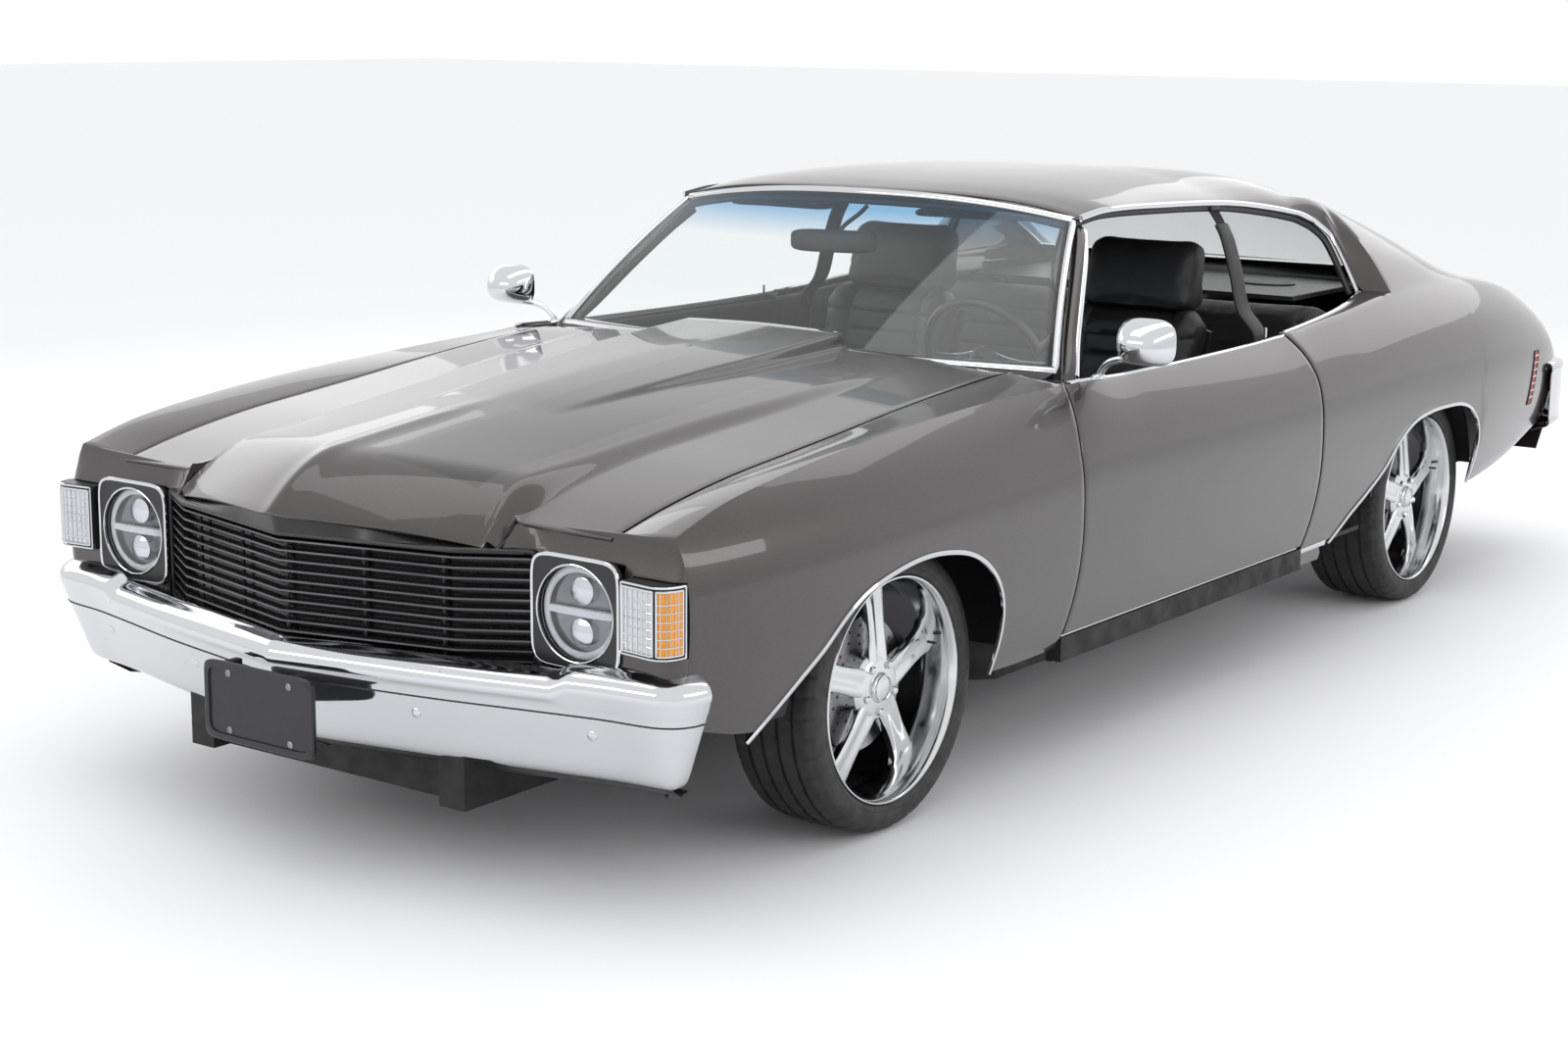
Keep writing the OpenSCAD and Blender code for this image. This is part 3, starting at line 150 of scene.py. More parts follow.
def tube_faces(n, m, start=0, loop=False):
    """Skin through n rings of m points, closed on itself or capped at its ends."""
    faces = grid_faces(n, m, start, wrap=True)
    last = start + (n - 1) * m
    if loop:
        return faces + [[last + j, start + j, start + (j + 1) % m, last + (j + 1) % m] for j in range(m)]
    return faces + [[start + j for j in range(m)], [last + j for j in range(m)][::-1]]


def add_piece(name, verts, faces, finish, body="body", smooth=38):
    """Makes a mesh object from row-frame metres and rides it on a body."""
    mesh = bpy.data.meshes.new(name)
    mesh.from_pydata([tuple(v) for v in verts], [], faces)
    mesh.validate()
    mesh.materials.append(MAT[finish])
    ob = bpy.data.objects.new(name, mesh)
    bpy.context.collection.objects.link(ob)
    finish_mesh(ob, smooth)
    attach(ob, body)
    return ob


def finish_mesh(ob, smooth=38):
    for p in ob.data.polygons:
        p.use_smooth = True
    ob.data.set_sharp_from_angle(angle=math.radians(smooth))


def bake(ob, smooth=38):
    """Applies all modifiers."""
    graph = bpy.context.evaluated_depsgraph_get()
    mesh = bpy.data.meshes.new_from_object(ob.evaluated_get(graph))
    ob.modifiers.clear()
    ob.data = mesh
    finish_mesh(ob, smooth)
    return ob


def bevel(ob, width, segments=2, angle=40, smooth=38):
    m = ob.modifiers.new("bevel", "BEVEL")
    m.width, m.segments, m.limit_method = width / 1000, segments, "ANGLE"
    m.angle_limit = math.radians(angle)
    m.harden_normals = False
    return bake(ob, smooth)


def weld(ob, near=0.3):
    bm = bmesh.new()
    bm.from_mesh(ob.data)
    bmesh.ops.remove_doubles(bm, verts=bm.verts, dist=near / 1000)
    bm.to_mesh(ob.data)
    bm.free()
    finish_mesh(ob)
    return ob


def on_side(verts, side):
    """Points as they are on the left (1), or mirrored to the right (-1)."""
    v = np.array(verts, float)
    v[..., 0] *= side
    return v


def shell(name, grids, finish, body="body", thick=6.0, edge=2.0, sides=1, smooth=38, skip=(), middle=()):
    """A sheet-metal panel from outer-surface grids in millimetres.

    sides: 1 left, -1 right, 0 both. Cells in skip are left open, and middle grids are not mirrored.
    """
    verts, faces = [], []
    placed = [(side, g) for side in ((1, -1) if sides == 0 else (sides,)) for g in grids]
    for side, g in placed + [(1, g) for g in middle]:
        n, m = g.shape[:2]
        cells = grid_faces(n, m, sum(len(v) for v in verts), flip=side < 0)
        faces += [f for k, f in enumerate(cells) if divmod(k, m - 1) not in skip]
        verts.append(on_side(to_row(g).reshape(-1, 3), side))
    ob = add_piece(name, np.concatenate(verts), faces, finish, body, smooth)
    weld(ob)
    m = ob.modifiers.new("thick", "SOLIDIFY")
    m.thickness, m.offset, m.use_even_offset = thick / 1000, -1, False
    bake(ob)
    if edge:
        bevel(ob, edge, 2, 55, smooth)
    return ob


def frames(path, out):
    """Tangent, outward and side vectors along a path."""
    d = np.gradient(path, axis=0)
    d /= np.linalg.norm(d, axis=1)[:, None]
    out = np.broadcast_to(np.asarray(out, float), path.shape)
    out = out - (out * d).sum(1)[:, None] * d
    out = out / np.linalg.norm(out, axis=1)[:, None]
    return d, out, np.cross(d, out)


def sweep(path, section, out, closed=False):
    """Grid of a closed (outward, sideways) section swept along a path, in millimetres."""
    path = np.asarray(path, float)
    if closed:
        ring = np.vstack([path[-1:], path, path[:1]])
        _, o, w = frames(ring, out if np.ndim(out) == 1 else np.vstack([out[-1:], out, out[:1]]))
        o, w = o[1:-1], w[1:-1]
    else:
        _, o, w = frames(path, out)
    sec = np.asarray(section, float)
    return path[:, None] + o[:, None] * sec[None, :, :1] + w[:, None] * sec[None, :, 1:]


def oval(a, b, n=10):
    t = angles(n)
    return np.stack([a * np.cos(t), b * np.sin(t)], -1)


def solid_sweep(name, paths, section, out, finish, body="body", closed=False, smooth=38, sides=1):
    """One piece made of swept bars. sides 0 adds their mirror images."""
    verts, faces, count = [], [], 0
    for i, path in enumerate(paths):
        o = out[i] if isinstance(out, list) else out
        g = sweep(path, section, o, closed)
        n, m = g.shape[:2]
        for side in ((1, -1) if sides == 0 else (sides,)):
            verts.append(on_side(to_row(g).reshape(-1, 3), side))
            faces += tube_faces(n, m, count, closed)
            count += n * m
    ob = add_piece(name, np.concatenate(verts), faces, finish, body, smooth)
    outward(ob)
    return ob


def outward(ob):
    bm = bmesh.new()
    bm.from_mesh(ob.data)
    bmesh.ops.recalc_face_normals(bm, faces=bm.faces)
    bm.to_mesh(ob.data)
    bm.free()


def join(name, parts, finish, body="body", smooth=38):
    """One piece from (verts in row metres, faces) pairs."""
    verts, faces, count = [], [], 0
    for v, f in parts:
        v = np.asarray(v).reshape(-1, 3)
        verts.append(v)
        faces += [[count + i for i in q] for q in f]
        count += len(v)
    ob = add_piece(name, np.concatenate(verts), faces, finish, body, smooth)
    outward(ob)
    return ob


def disc_part(centre, r, depth, n=32, dome=0.0):
    """A short rod along the car whose front face domes, in millimetres."""
    rings = [(r, depth), (r, 0)] + [(r * k, -dome * (1 - k * k)) for k in (0.85, 0.6, 0.3)]
    v = [to_row(np.add(centre, (rr * math.cos(a), d, rr * math.sin(a)))) for rr, d in rings
         for a in angles(n)]
    return v, tube_faces(len(rings), n)


# ---- materials ----
def material(name, color, rough=0.5, metal=0.0, **more):
    m = bpy.data.materials.new(name)
    m.use_nodes = True
    b = m.node_tree.nodes["Principled BSDF"]
    b.inputs["Base Color"].default_value = (*color, 1)
    b.inputs["Roughness"].default_value = rough
    b.inputs["Metallic"].default_value = metal
    for key, value in more.items():
        b.inputs[key.replace("_", " ")].default_value = value
    return m


def node(m, kind, **values):
    n = m.node_tree.nodes.new(kind)
    for key, value in values.items():
        if key in n.inputs:
            n.inputs[key].default_value = value
        else:
            setattr(n, key, value)
    return n


def link(m, a, out, b, into):
    m.node_tree.links.new(a.outputs[out], b.inputs[into])


def shader(m):
    return m.node_tree.nodes["Principled BSDF"]


def coords(m):
    return node(m, "ShaderNodeTexCoord")


def texture(m, kind, where=None, **values):
    """A texture laid out in the piece's own space."""
    n = node(m, "ShaderNode" + kind, **values)
    link(m, where or coords(m), "Object", n, "Vector")
    return n


def noise(m, scale, detail=3.0):
    return texture(m, "TexNoise", Scale=scale, Detail=detail)


def ramp(m, source, out, stops):
    r = node(m, "ShaderNodeValToRGB")
    link(m, source, out, r, "Fac")
    for e, (at, c) in zip((r.color_ramp.elements[0], r.color_ramp.elements[1]), stops[:2]):
        e.position, e.color = at, (*c, 1) if len(c) == 3 else c
    for at, c in stops[2:]:
        r.color_ramp.elements.new(at).color = (*c, 1)
    return r


def vary(m, color, amount=0.12, scale=9.0):
    """Slow patches of lighter and darker colour."""
    r = ramp(m, noise(m, scale), "Fac", [(0.3, [c * (1 - amount) for c in color]),
                                         (0.7, [c * (1 + amount) for c in color])])
    link(m, r, "Color", shader(m), "Base Color")
    return r


def rough_patches(m, low, high, scale=14.0):
    r = ramp(m, noise(m, scale, 5.0), "Fac", [(0.3, (low,) * 3), (0.7, (high,) * 3)])
    link(m, r, "Color", shader(m), "Roughness")


def bump(m, source, out="Fac", strength=0.2, distance=0.001):
    b = node(m, "ShaderNodeBump", Strength=strength, Distance=distance)
    link(m, source, out, b, "Height")
    link(m, b, "Normal", shader(m), "Normal")


def math_node(m, operation, a, b=None, c=None):
    """Sums: each of a, b and c is a number, a node or a (node, output) pair."""
    n = node(m, "ShaderNodeMath", operation=operation)
    for i, v in enumerate((a, b, c)):
        if v is None:
            continue
        if isinstance(v, tuple):
            m.node_tree.links.new(v[0].outputs[v[1]], n.inputs[i])
        elif isinstance(v, bpy.types.Node):
            m.node_tree.links.new(v.outputs[0], n.inputs[i])
        else:
            n.inputs[i].default_value = v
    return n


def blend(m, factor, a, b):
    """Colour mix; each of a and b is a colour or a (node, output) pair. The result is output 2."""
    n = node(m, "ShaderNodeMix", data_type="RGBA")
    for i, v in ((0, factor), (6, a), (7, b)):
        if len(v) == 2:
            m.node_tree.links.new(v[0].outputs[v[1]], n.inputs[i])
        else:
            n.inputs[i].default_value = v
    return n


PAINT_COLOR = (0.050, 0.0445, 0.043)


def paint(name="paint"):
    """Warm grey metallic under clear coat: fine flake in colour and bump."""
    m = material(name, PAINT_COLOR, 0.34, 0.75, Coat_Weight=1.0, Coat_Roughness=0.035)
    flake = texture(m, "TexVoronoi", Scale=900.0)
    r = ramp(m, flake, "Color", [(0.0, [c * 0.82 for c in PAINT_COLOR]),
                                 (1.0, [c * 1.3 for c in PAINT_COLOR])])
    link(m, r, "Color", shader(m), "Base Color")
    peel = noise(m, 160.0, 2.0)
    bump(m, peel, strength=0.03, distance=0.0006)
    return m


def stripe_paint():
    """The body's paint with two darker hood stripes and their thin outline, laid out by hood position."""
    m = paint("hood_paint")
    base = shader(m).inputs["Base Color"].links[0].from_node
    xyz = texture(m, "SeparateXYZ")
    side = math_node(m, "ABSOLUTE", (xyz, "X"))
    middle = math_node(m, "SUBTRACT", side, 0.232)
    across = math_node(m, "ABSOLUTE", middle)
    half = math_node(m, "MULTIPLY_ADD", (xyz, "Y"), 0.012, 0.152)
    inside = math_node(m, "SUBTRACT", half, across)
    front = math_node(m, "ADD", (xyz, "Y"), 2.29)
    front = math_node(m, "MULTIPLY_ADD", side, -0.13, front)
    depth = math_node(m, "MINIMUM", inside, front)
    fill = math_node(m, "GREATER_THAN", depth, 0.006)
    edge = math_node(m, "COMPARE", depth, 0.004, 0.0012)
    dark = blend(m, (fill, "Value"), (base, "Color"), (0.024, 0.022, 0.022, 1))
    line = blend(m, (edge, "Value"), (dark, 2), (0.02, 0.02, 0.02, 1))
    m.node_tree.links.new(line.outputs[2], shader(m).inputs["Base Color"])
    return m


def chrome(name="chrome", rough=0.05):
    m = material(name, (0.66, 0.67, 0.69), rough, 1.0)
    rough_patches(m, rough * 0.6, rough * 1.7, 22.0)
    bump(m, noise(m, 35.0, 2.0), strength=0.03, distance=0.001)
    return m


def alloy():
    """Polished cast aluminium, a little duller than chrome, with faint turning marks."""
    m = material("alloy", (0.68, 0.69, 0.70), 0.13, 1.0)
    rough_patches(m, 0.08, 0.2, 30.0)
    bump(m, noise(m, 220.0, 3.0), strength=0.05, distance=0.0005)
    return m


def rubber():
    m = material("tyre_rubber", (0.018, 0.018, 0.018), 0.62)
    vary(m, (0.020, 0.020, 0.020), 0.3, 25.0)
    rough_patches(m, 0.5, 0.75, 40.0)
    bump(m, noise(m, 400.0, 4.0), strength=0.12, distance=0.0006)
    return m


def plastic(name, color=(0.018, 0.018, 0.019), rough=0.45, grain=260.0, strength=0.18):
    m = material(name, color, rough)
    vary(m, color, 0.15, 12.0)
    rough_patches(m, rough * 0.85, rough * 1.15, 60.0)
    bump(m, noise(m, grain, 5.0), strength=strength, distance=0.0008)
    return m


def satin_metal(name, color, rough=0.5, metal=0.3):
    m = material(name, color, rough, metal)
    vary(m, color, 0.3, 5.0)
    rough_patches(m, rough * 0.8, min(1, rough * 1.3), 18.0)
    bump(m, noise(m, 120.0, 5.0), strength=0.2, distance=0.001)
    return m


def leather():
    """Black vinyl: pebble grain, soft sheen."""
    m = material("seat_vinyl", (0.014, 0.014, 0.015), 0.42, Specular_IOR_Level=0.45)
    cells = texture(m, "TexVoronoi", Scale=420.0, feature="DISTANCE_TO_EDGE")
    grain = ramp(m, cells, "Distance", [(0.0, (0, 0, 0)), (0.25, (1, 1, 1))])
    bump(m, grain, "Color", 0.35, 0.0006)
    vary(m, (0.015, 0.015, 0.016), 0.25, 8.0)
    rough_patches(m, 0.36, 0.52, 30.0)
    return m


def carpet():
    m = material("carpet", (0.012, 0.012, 0.013), 0.95, Sheen_Weight=0.3)
    vary(m, (0.014, 0.014, 0.015), 0.4, 60.0)
    bump(m, noise(m, 900.0, 6.0), strength=0.6, distance=0.002)
    return m


def webbing():
    m = material("webbing", (0.007, 0.007, 0.008), 0.85)
    weave = texture(m, "TexWave", Scale=300.0, Distortion=0.5)
    bump(m, weave, "Color", 0.5, 0.0008)
    vary(m, (0.007, 0.007, 0.008), 0.2, 20.0)
    return m


def clear_glass(name, color=(0.95, 0.98, 0.97), rough=0.0):
    m = material(name, color, rough, Transmission_Weight=1.0, IOR=1.45)
    vary(m, color, 0.01, 2.0)
    return m


def shield_glass():
    """Clear, with a blue tint band under the header."""
    m = clear_glass("windshield_glass")
    xyz = texture(m, "SeparateXYZ")
    r = ramp(m, xyz, "Z", [(0.0, (0.93, 0.97, 0.96)), (1.0, (0.25, 0.5, 0.75))])
    level = node(m, "ShaderNodeMapRange")
    for key, value in (("From Min", 1.165), ("From Max", 1.245)):
        level.inputs[key].default_value = value
    link(m, xyz, "Z", level, "Value")
    link(m, level, "Result", r, "Fac")
    link(m, r, "Color", shader(m), "Base Color")
    return m


def ribbed(name, color, scale, rough=0.08, **more):
    """A moulded lens with a square grid of ribs; its colour is darker in the grooves between them, as painted
    shade.
    """
    m = material(name, color, rough, **more)
    c = coords(m)
    across, up = (texture(m, "TexWave", c, Scale=scale, bands_direction=way) for way in "XZ")
    s = math_node(m, "ADD", (across, "Fac"), (up, "Fac"))
    bump(m, s, "Value", 0.5, 0.002)
    # Darker colour in the rib grooves: painted shade.
    r = ramp(m, s, "Value", [(0.2, [k * 0.7 for k in color]), (0.9, color)])
    link(m, r, "Color", shader(m), "Base Color")
    return m


MAT = {
    "paint": paint(), "hood": stripe_paint(), "chrome": chrome(), "alloy": alloy(), "rubber": rubber(),
    "black": plastic("black_plastic"), "trim": plastic("black_trim", (0.012, 0.012, 0.013), 0.35),
    "satin": plastic("satin_black", (0.01, 0.01, 0.01), 0.28, 120.0, 0.05),
    "frame": satin_metal("chassis_black", (0.008, 0.008, 0.008), 0.6, 0.1),
    "iron": satin_metal("cast_iron", (0.11, 0.11, 0.115), 0.6, 0.7),
    "steel": satin_metal("pipe_steel", (0.32, 0.32, 0.33), 0.38, 0.95),
    "disc": satin_metal("brake_steel", (0.35, 0.35, 0.36), 0.3, 1.0),
    "vinyl": leather(), "carpet": carpet(), "webbing": webbing(),
    "glass": clear_glass("cabin_glass"), "shield": shield_glass(),
    "lens": clear_glass("lamp_lens", (0.97, 0.98, 1.0)),
    "amber": ribbed("amber_lens", (0.85, 0.33, 0.03), 90.0),
    "clear_grid": ribbed("clear_lens", (0.72, 0.74, 0.76), 90.0, 0.12, Metallic=0.35),
    "red": ribbed("red_lens", (0.45, 0.012, 0.012), 80.0),
    "led": material("lamp_ring", (0.9, 0.92, 0.95), 0.2),
    # Lighter metal for the grille bars' front edges: a painted highlight.
    "edge": satin_metal("grille_edge_highlight", (0.13, 0.13, 0.135), 0.35, 0.9),
    "reflector": satin_metal("lamp_bowl", (0.16, 0.16, 0.17), 0.16, 1.0),
    "mirror": chrome("mirror_glass", 0.02),
    "gauge": plastic("gauge_face", (0.6, 0.6, 0.58), 0.4, 80.0, 0.02),
}
rough_patches(MAT["led"], 0.15, 0.3, 50.0)


# ---- body curves, as in the CAD source ----
CREST_X = [(-760, 861), (-600, 856), (-300, 851), (0, 844), (300, 840), (560, 850), (720, 872), (1000, 872),
           (1800, 862), (2260, 850), (2600, 832), (3000, 812), (3400, 796), (3700, 786), (3860, 790),
           (3960, 800)]
CREST_Z = [(-760, 771), (-600, 814), (-400, 843), (-200, 863), (0, 877), (300, 892), (560, 900), (720, 906),
           (1000, 897), (1800, 900), (2260, 928), (2600, 952), (2900, 958), (3200, 948), (3450, 922),
           (3650, 886), (3800, 838), (3900, 780), (3960, 715)]
WIDE_X = [(-830, 882), (-760, 897), (-600, 926), (-400, 945), (-150, 955), (300, 957), (1900, 957),
          (2700, 955), (3150, 950), (3450, 935), (3700, 912), (3860, 890), (3960, 866)]
LOW_Z = [(-760, 400), (-560, 352), (400, 290), (1000, 304), (2100, 312), (3100, 330), (3400, 365),
         (3700, 430), (3960, 470)]
FRONT_ARCH = [(-560, 330), (-505, 384), (-440, 442), (-379, 490), (-310, 550), (-243, 588), (-150, 613),
              (-40, 627), (60, 622), (150, 602), (225, 562), (285, 500), (318, 420), (332, 290)]
REAR_ARCH = [(-720, 300), (-640, 370), (-560, 420), (-470, 478), (-390, 545), (-290, 592), (-170, 610),
             (-40, 612), (80, 604), (170, 576), (240, 520), (270, 450), (276, 390), (278, 330)]
GAP_Z = [(-775, 750), (-600, 790), (-400, 822), (-200, 843), (0, 863), (200, 885), (400, 903), (600, 918),
         (700, 918)]
LID_Z = [(3200, 966), (3400, 944), (3600, 914), (3760, 878), (3860, 842), (3960, 770)]


def crest(s):
    return points(curve(CREST_X, s), s, curve(CREST_Z, s))


def side_x(s, z):
    xc, zc, xw = curve(CREST_X, s), curve(CREST_Z, s), curve(WIDE_X, s)
    up = np.clip((z - WIDE_Z) / (zc - WIDE_Z), 0, 1)
    return np.where(z >= WIDE_Z, mix(xw, xc, up**3), xw - TUCK * (WIDE_Z - z) ** 2)


def foot(s):
    """Lowest height of the side panels: the rocker line, or the wheel arch's lip."""
    s = np.asarray(s, float)
    low = curve(LOW_Z, s)
    for arch, axle in ((FRONT_ARCH, 0), (REAR_ARCH, WHEELBASE)):
        x = [a[0] + axle for a in arch]
        low = np.where((s > x[0]) & (s < x[-1]), np.maximum(low, curve(arch, s - axle)), low)
    return low


def front_bend(z):
    return 55 * (np.maximum(z - 750, 0) / 150) ** 1.6


def rear_bend(z):
    return -52 * (np.maximum(z - 760, 0) / 130) ** 2


def stations(a, b, n, *dense):
    """Evenly spaced stations with closer ones round the given places."""
    s = [np.linspace(a, b, n)] + [np.linspace(d - 30, d + 30, 13) for d in dense]
    s = np.unique(np.round(np.concatenate(s), 2))
    s = s[(s >= a) & (s <= b)]
    return s[np.concatenate([[True], np.diff(s) > 1.2])]


def side_grid(s, shift, rows=34, power=0.85):
    """Side surface from the foot line to the crest. shift(s, z) bends the stations."""
    s = np.asarray(s, float)[:, None]
    t = row(0, 1, rows) ** power
    z = mix(foot(s), curve(CREST_Z, s), t)
    return points(side_x(s, z), s + shift(s, z), z)


# ---- front fender ----
def fender_shift(s, z):
    """The fender's rear edge follows the door's bend, from a station ahead of it."""
    start = 420
    return ease((s - start) / (DOOR_FRONT - start)) * front_bend(z)


def fenders():
    s = stations(-757, DOOR_FRONT - GAP, 90, -560, 332, 318, 285)
    side = side_grid(s, fender_shift, 40)
    a = s[:, None]
    u = np.concatenate([np.linspace(0.04, 1, 12), [1.0]])[None, :]
    xc, zc, zg = curve(CREST_X, a), curve(CREST_Z, a), curve(GAP_Z, a)
    edge = HOOD_HALF + GAP
    z = mix(zc, zg, u**1.6)
    z[:, -1] -= 24
    top = points(mix(xc, edge, u), a + fender_shift(a, zc), z)
    for name, side_sign in (("fender_left", 1), ("fender_right", -1)):
        ob = shell(name + "_panel", [np.concatenate([side, top], 1)], "paint", thick=5, sides=side_sign)
        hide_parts(name)


# ---- doors ----
def doors():
    n, rows = 70, 44
    u = column(0, 1, n)
    s = mix(DOOR_FRONT, DOOR_REAR, u)
    z = mix(SILL_TOP + 3, curve(CREST_Z, s) - 2, row(0, 1, rows))
    near = np.clip(1 - u * 5, 0, 1) * front_bend(z) + np.clip(u * 5 - 4, 0, 1) * rear_bend(z)
    outer = points(side_x(s, z), s + near, z)
    inner = outer.copy()
    inner[..., 0] = INNER_X
    inner[..., 1] += mix(10, -22, u)
    verts = np.concatenate([outer.reshape(-1, 3), inner.reshape(-1, 3)])
    k = n * rows
    faces = grid_faces(n, rows, 0, flip=True) + grid_faces(n, rows, k)
    rim = [i * rows for i in range(n)] + [(n - 1) * rows + j for j in range(1, rows)]
    rim += [i * rows + rows - 1 for i in range(n - 2, -1, -1)] + [j for j in range(rows - 2, 0, -1)]
    faces += [[a, b, b + k, a + k] for a, b in zip(rim, rim[1:] + rim[:1])]
    for side, name in ((1, "door_left"), (-1, "door_right")):
        ob = add_piece(name + "_panel", on_side(to_row(verts), side), faces, "paint", name)
        outward(ob)
        bevel(ob, 3, 3, 50)
        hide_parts(name)
        door_inside(side, name)


def door_inside(side, body):
    """Padded card, arm rest, handles and the window slot's felt."""
    x = INNER_X - 2
    s = column(DOOR_FRONT + 45, DOOR_REAR - 60, 40)
    t = row(0, 1, 30)
    z = mix(SILL_TOP + 25, 885, t)
    puff = 9 * np.sin(math.pi * np.clip((t - 0.06) / 0.56, 0, 1)) ** 0.4 + 4 * (t > 0.66)
    roll = 12 * np.exp(-((t - 0.98) / 0.05) ** 2)
    card = points(x - 3 - puff - roll, s, z)
    shell(body + "_card", [card[:, ::-1]], "vinyl", body, 6, 2, side)
    arm = smooth_path([(x - 10, 1130, 610), (x - 42, 1180, 622), (x - 46, 1400, 640), (x - 42, 1560, 640),
                       (x - 10, 1600, 632)], 30)
    solid_sweep(body + "_armrest", [arm], oval(30, 20, 14), (0, 0, 1), "black", body, sides=side)
    crank = smooth_path([(x - 14, 1010, 640), (x - 30, 1012, 640), (x - 34, 1060, 600),
                         (x - 34, 1090, 575)], 16)
    pull = smooth_path([(x - 12, 1240, 720), (x - 26, 1250, 722), (x - 26, 1330, 724), (x - 12, 1350, 724)],
                       16)
    solid_sweep(body + "_crank", [crank, pull], oval(7, 5, 8), (1, 0, 0), "chrome", body, sides=side)
    top = np.linspace(DOOR_FRONT + 90, DOOR_REAR - 70, 40)
    zc = curve(CREST_Z, top) + 0.5
    slot = points(curve(CREST_X, top) - 17, top, zc)
    solid_sweep(body + "_window_slot", [slot], oval(2, 7, 8), (0, 0, 1), "carpet", body, sides=side)
    pin = [(INNER_X - 4, 1800, 892), (INNER_X - 4, 1800, 930)]
    solid_sweep(body + "_lock_pin", [np.linspace(*np.array(pin), 4)], oval(4, 4, 10), (1, 0, 0),
                "chrome", body, sides=side)


# ---- roof, rear pillars and quarters: one welded skin ----
LOW_EDGE = [(1112, 629, 1243), (1160, 628, 1250), (1275, 627, 1262), (1574, 615, 1257), (1981, 610, 1241),
            (2223, 612, 1217), (2440, 618, 1185), (2500, 624, 1168), (2540, 630, 1153), (2573, 637, 1138)]
LOW_END = [(2573, 637, 1138), (2592, 670, 1082), (2605, 740, 959), (2640, 829, 954)]
CROWN_Z = [(1108, 1296), (1220, 1315), (1420, 1331), (1680, 1335.9), (1940, 1331), (2225, 1311), (2480, 1266)]
RIDGE = [(2440, 598, 1246), (2616, 606, 1206), (2859, 628, 1132), (3070, 655, 1055), (3200, 684, 1002),
         (3330, 715, 957), (3480, 735, 930), (3640, 735, 902), (3760, 735, 872), (3860, 735, 830),
         (3960, 735, 752)]
EDGE = [(2440, 562, 1236), (2700, 598, 1146), (2900, 624, 1064), (3090, 650, 985), (3200, 646, 967),
        (3400, 646, 944), (3600, 646, 914), (3760, 646, 878), (3860, 646, 842), (3960, 646, 770)]
STRIP_X = [(1900, 838), (2260, 818), (2560, 760), (2605, 740), (2640, 829)]
SECTION_F = (1.0, 0.985, 0.955, 0.905, 0.82)
ROOF_FRONT, ROOF_REAR = 1112, 2440
OPENING_REAR, PILLAR_FOOT = 2573, 2640


def low_edge(s):
    if s <= OPENING_REAR:
        x, z = curve(LOW_EDGE, s)
    elif s < PILLAR_FOOT:
        t = np.array(LOW_END, float)
        x, z = np.interp(s, t[:, 0], t[:, 1]), np.interp(s, t[:, 0], t[:, 2])
    else:
        x, z = curve(CREST_X, s), curve(CREST_Z, s)
    return np.array([x, s, z])


def roof_point(f, s):
    """Roof surface at a share f of the half width."""
    x, z = curve(LOW_EDGE, min(s, ROOF_REAR))
    w = ease((s - 1900) / 540)
    p, q = mix(3.4, 7.0, w), mix(1.2, 1.8, w)
    rise = curve(CROWN_Z, s) - z
    return np.array([x * f, s, z + rise * (1 - min(1, abs(f)) ** p) ** (1 / q)])


def pillar_points(s):
    """Low edge, bulge, ridge, glass edge and a guide point beyond it."""
    a = low_edge(s)
    r, e = curve(RIDGE, s), curve(EDGE, s)
    b, c = np.array([r[0], s, r[1]]), np.array([e[0], s, e[1]])
    k = mix(1.0, 0.12, ease((s - 2950) / 330))
    m = (a + b) / 2 + np.array([14, 0, 10]) * k
    return [a, m, b, c, c + (c - b)]


def upper_section(s, n=22):
    w = float(ease((s - 2370) / 240))
    pts = [roof_point(f, s) for f in SECTION_F] if w < 1 else None
    if w > 0:
        sail = pillar_points(s)
        pts = sail if pts is None else [mix(p, q, w) for p, q in zip(pts, sail)]
        pts[0] = low_edge(s)
    pts = np.array(pts)
    t = np.concatenate([[0], np.cumsum(np.linalg.norm(np.diff(pts, axis=0), axis=1))])
    u = t[3] * np.linspace(0, 1, n)
    return curve(np.column_stack([t, pts]), u)


def roof_shift(f, s):
    """The roof's curved front and rear edges."""
    u = (s - ROOF_FRONT) / (ROOF_REAR - ROOF_FRONT)
    inner = max(0.0, 1 - (f / SECTION_F[3]) ** 2)
    return s + 42 * f * f * max(0, 1 - u) + 46 * inner * max(0, min(1, u)) ** 4


def quarter_shift(s, z):
    """The quarter's front edge follows the door's bend."""
    return np.clip(1 - (s - DOOR_REAR) / 60, 0, 1) * rear_bend(z)


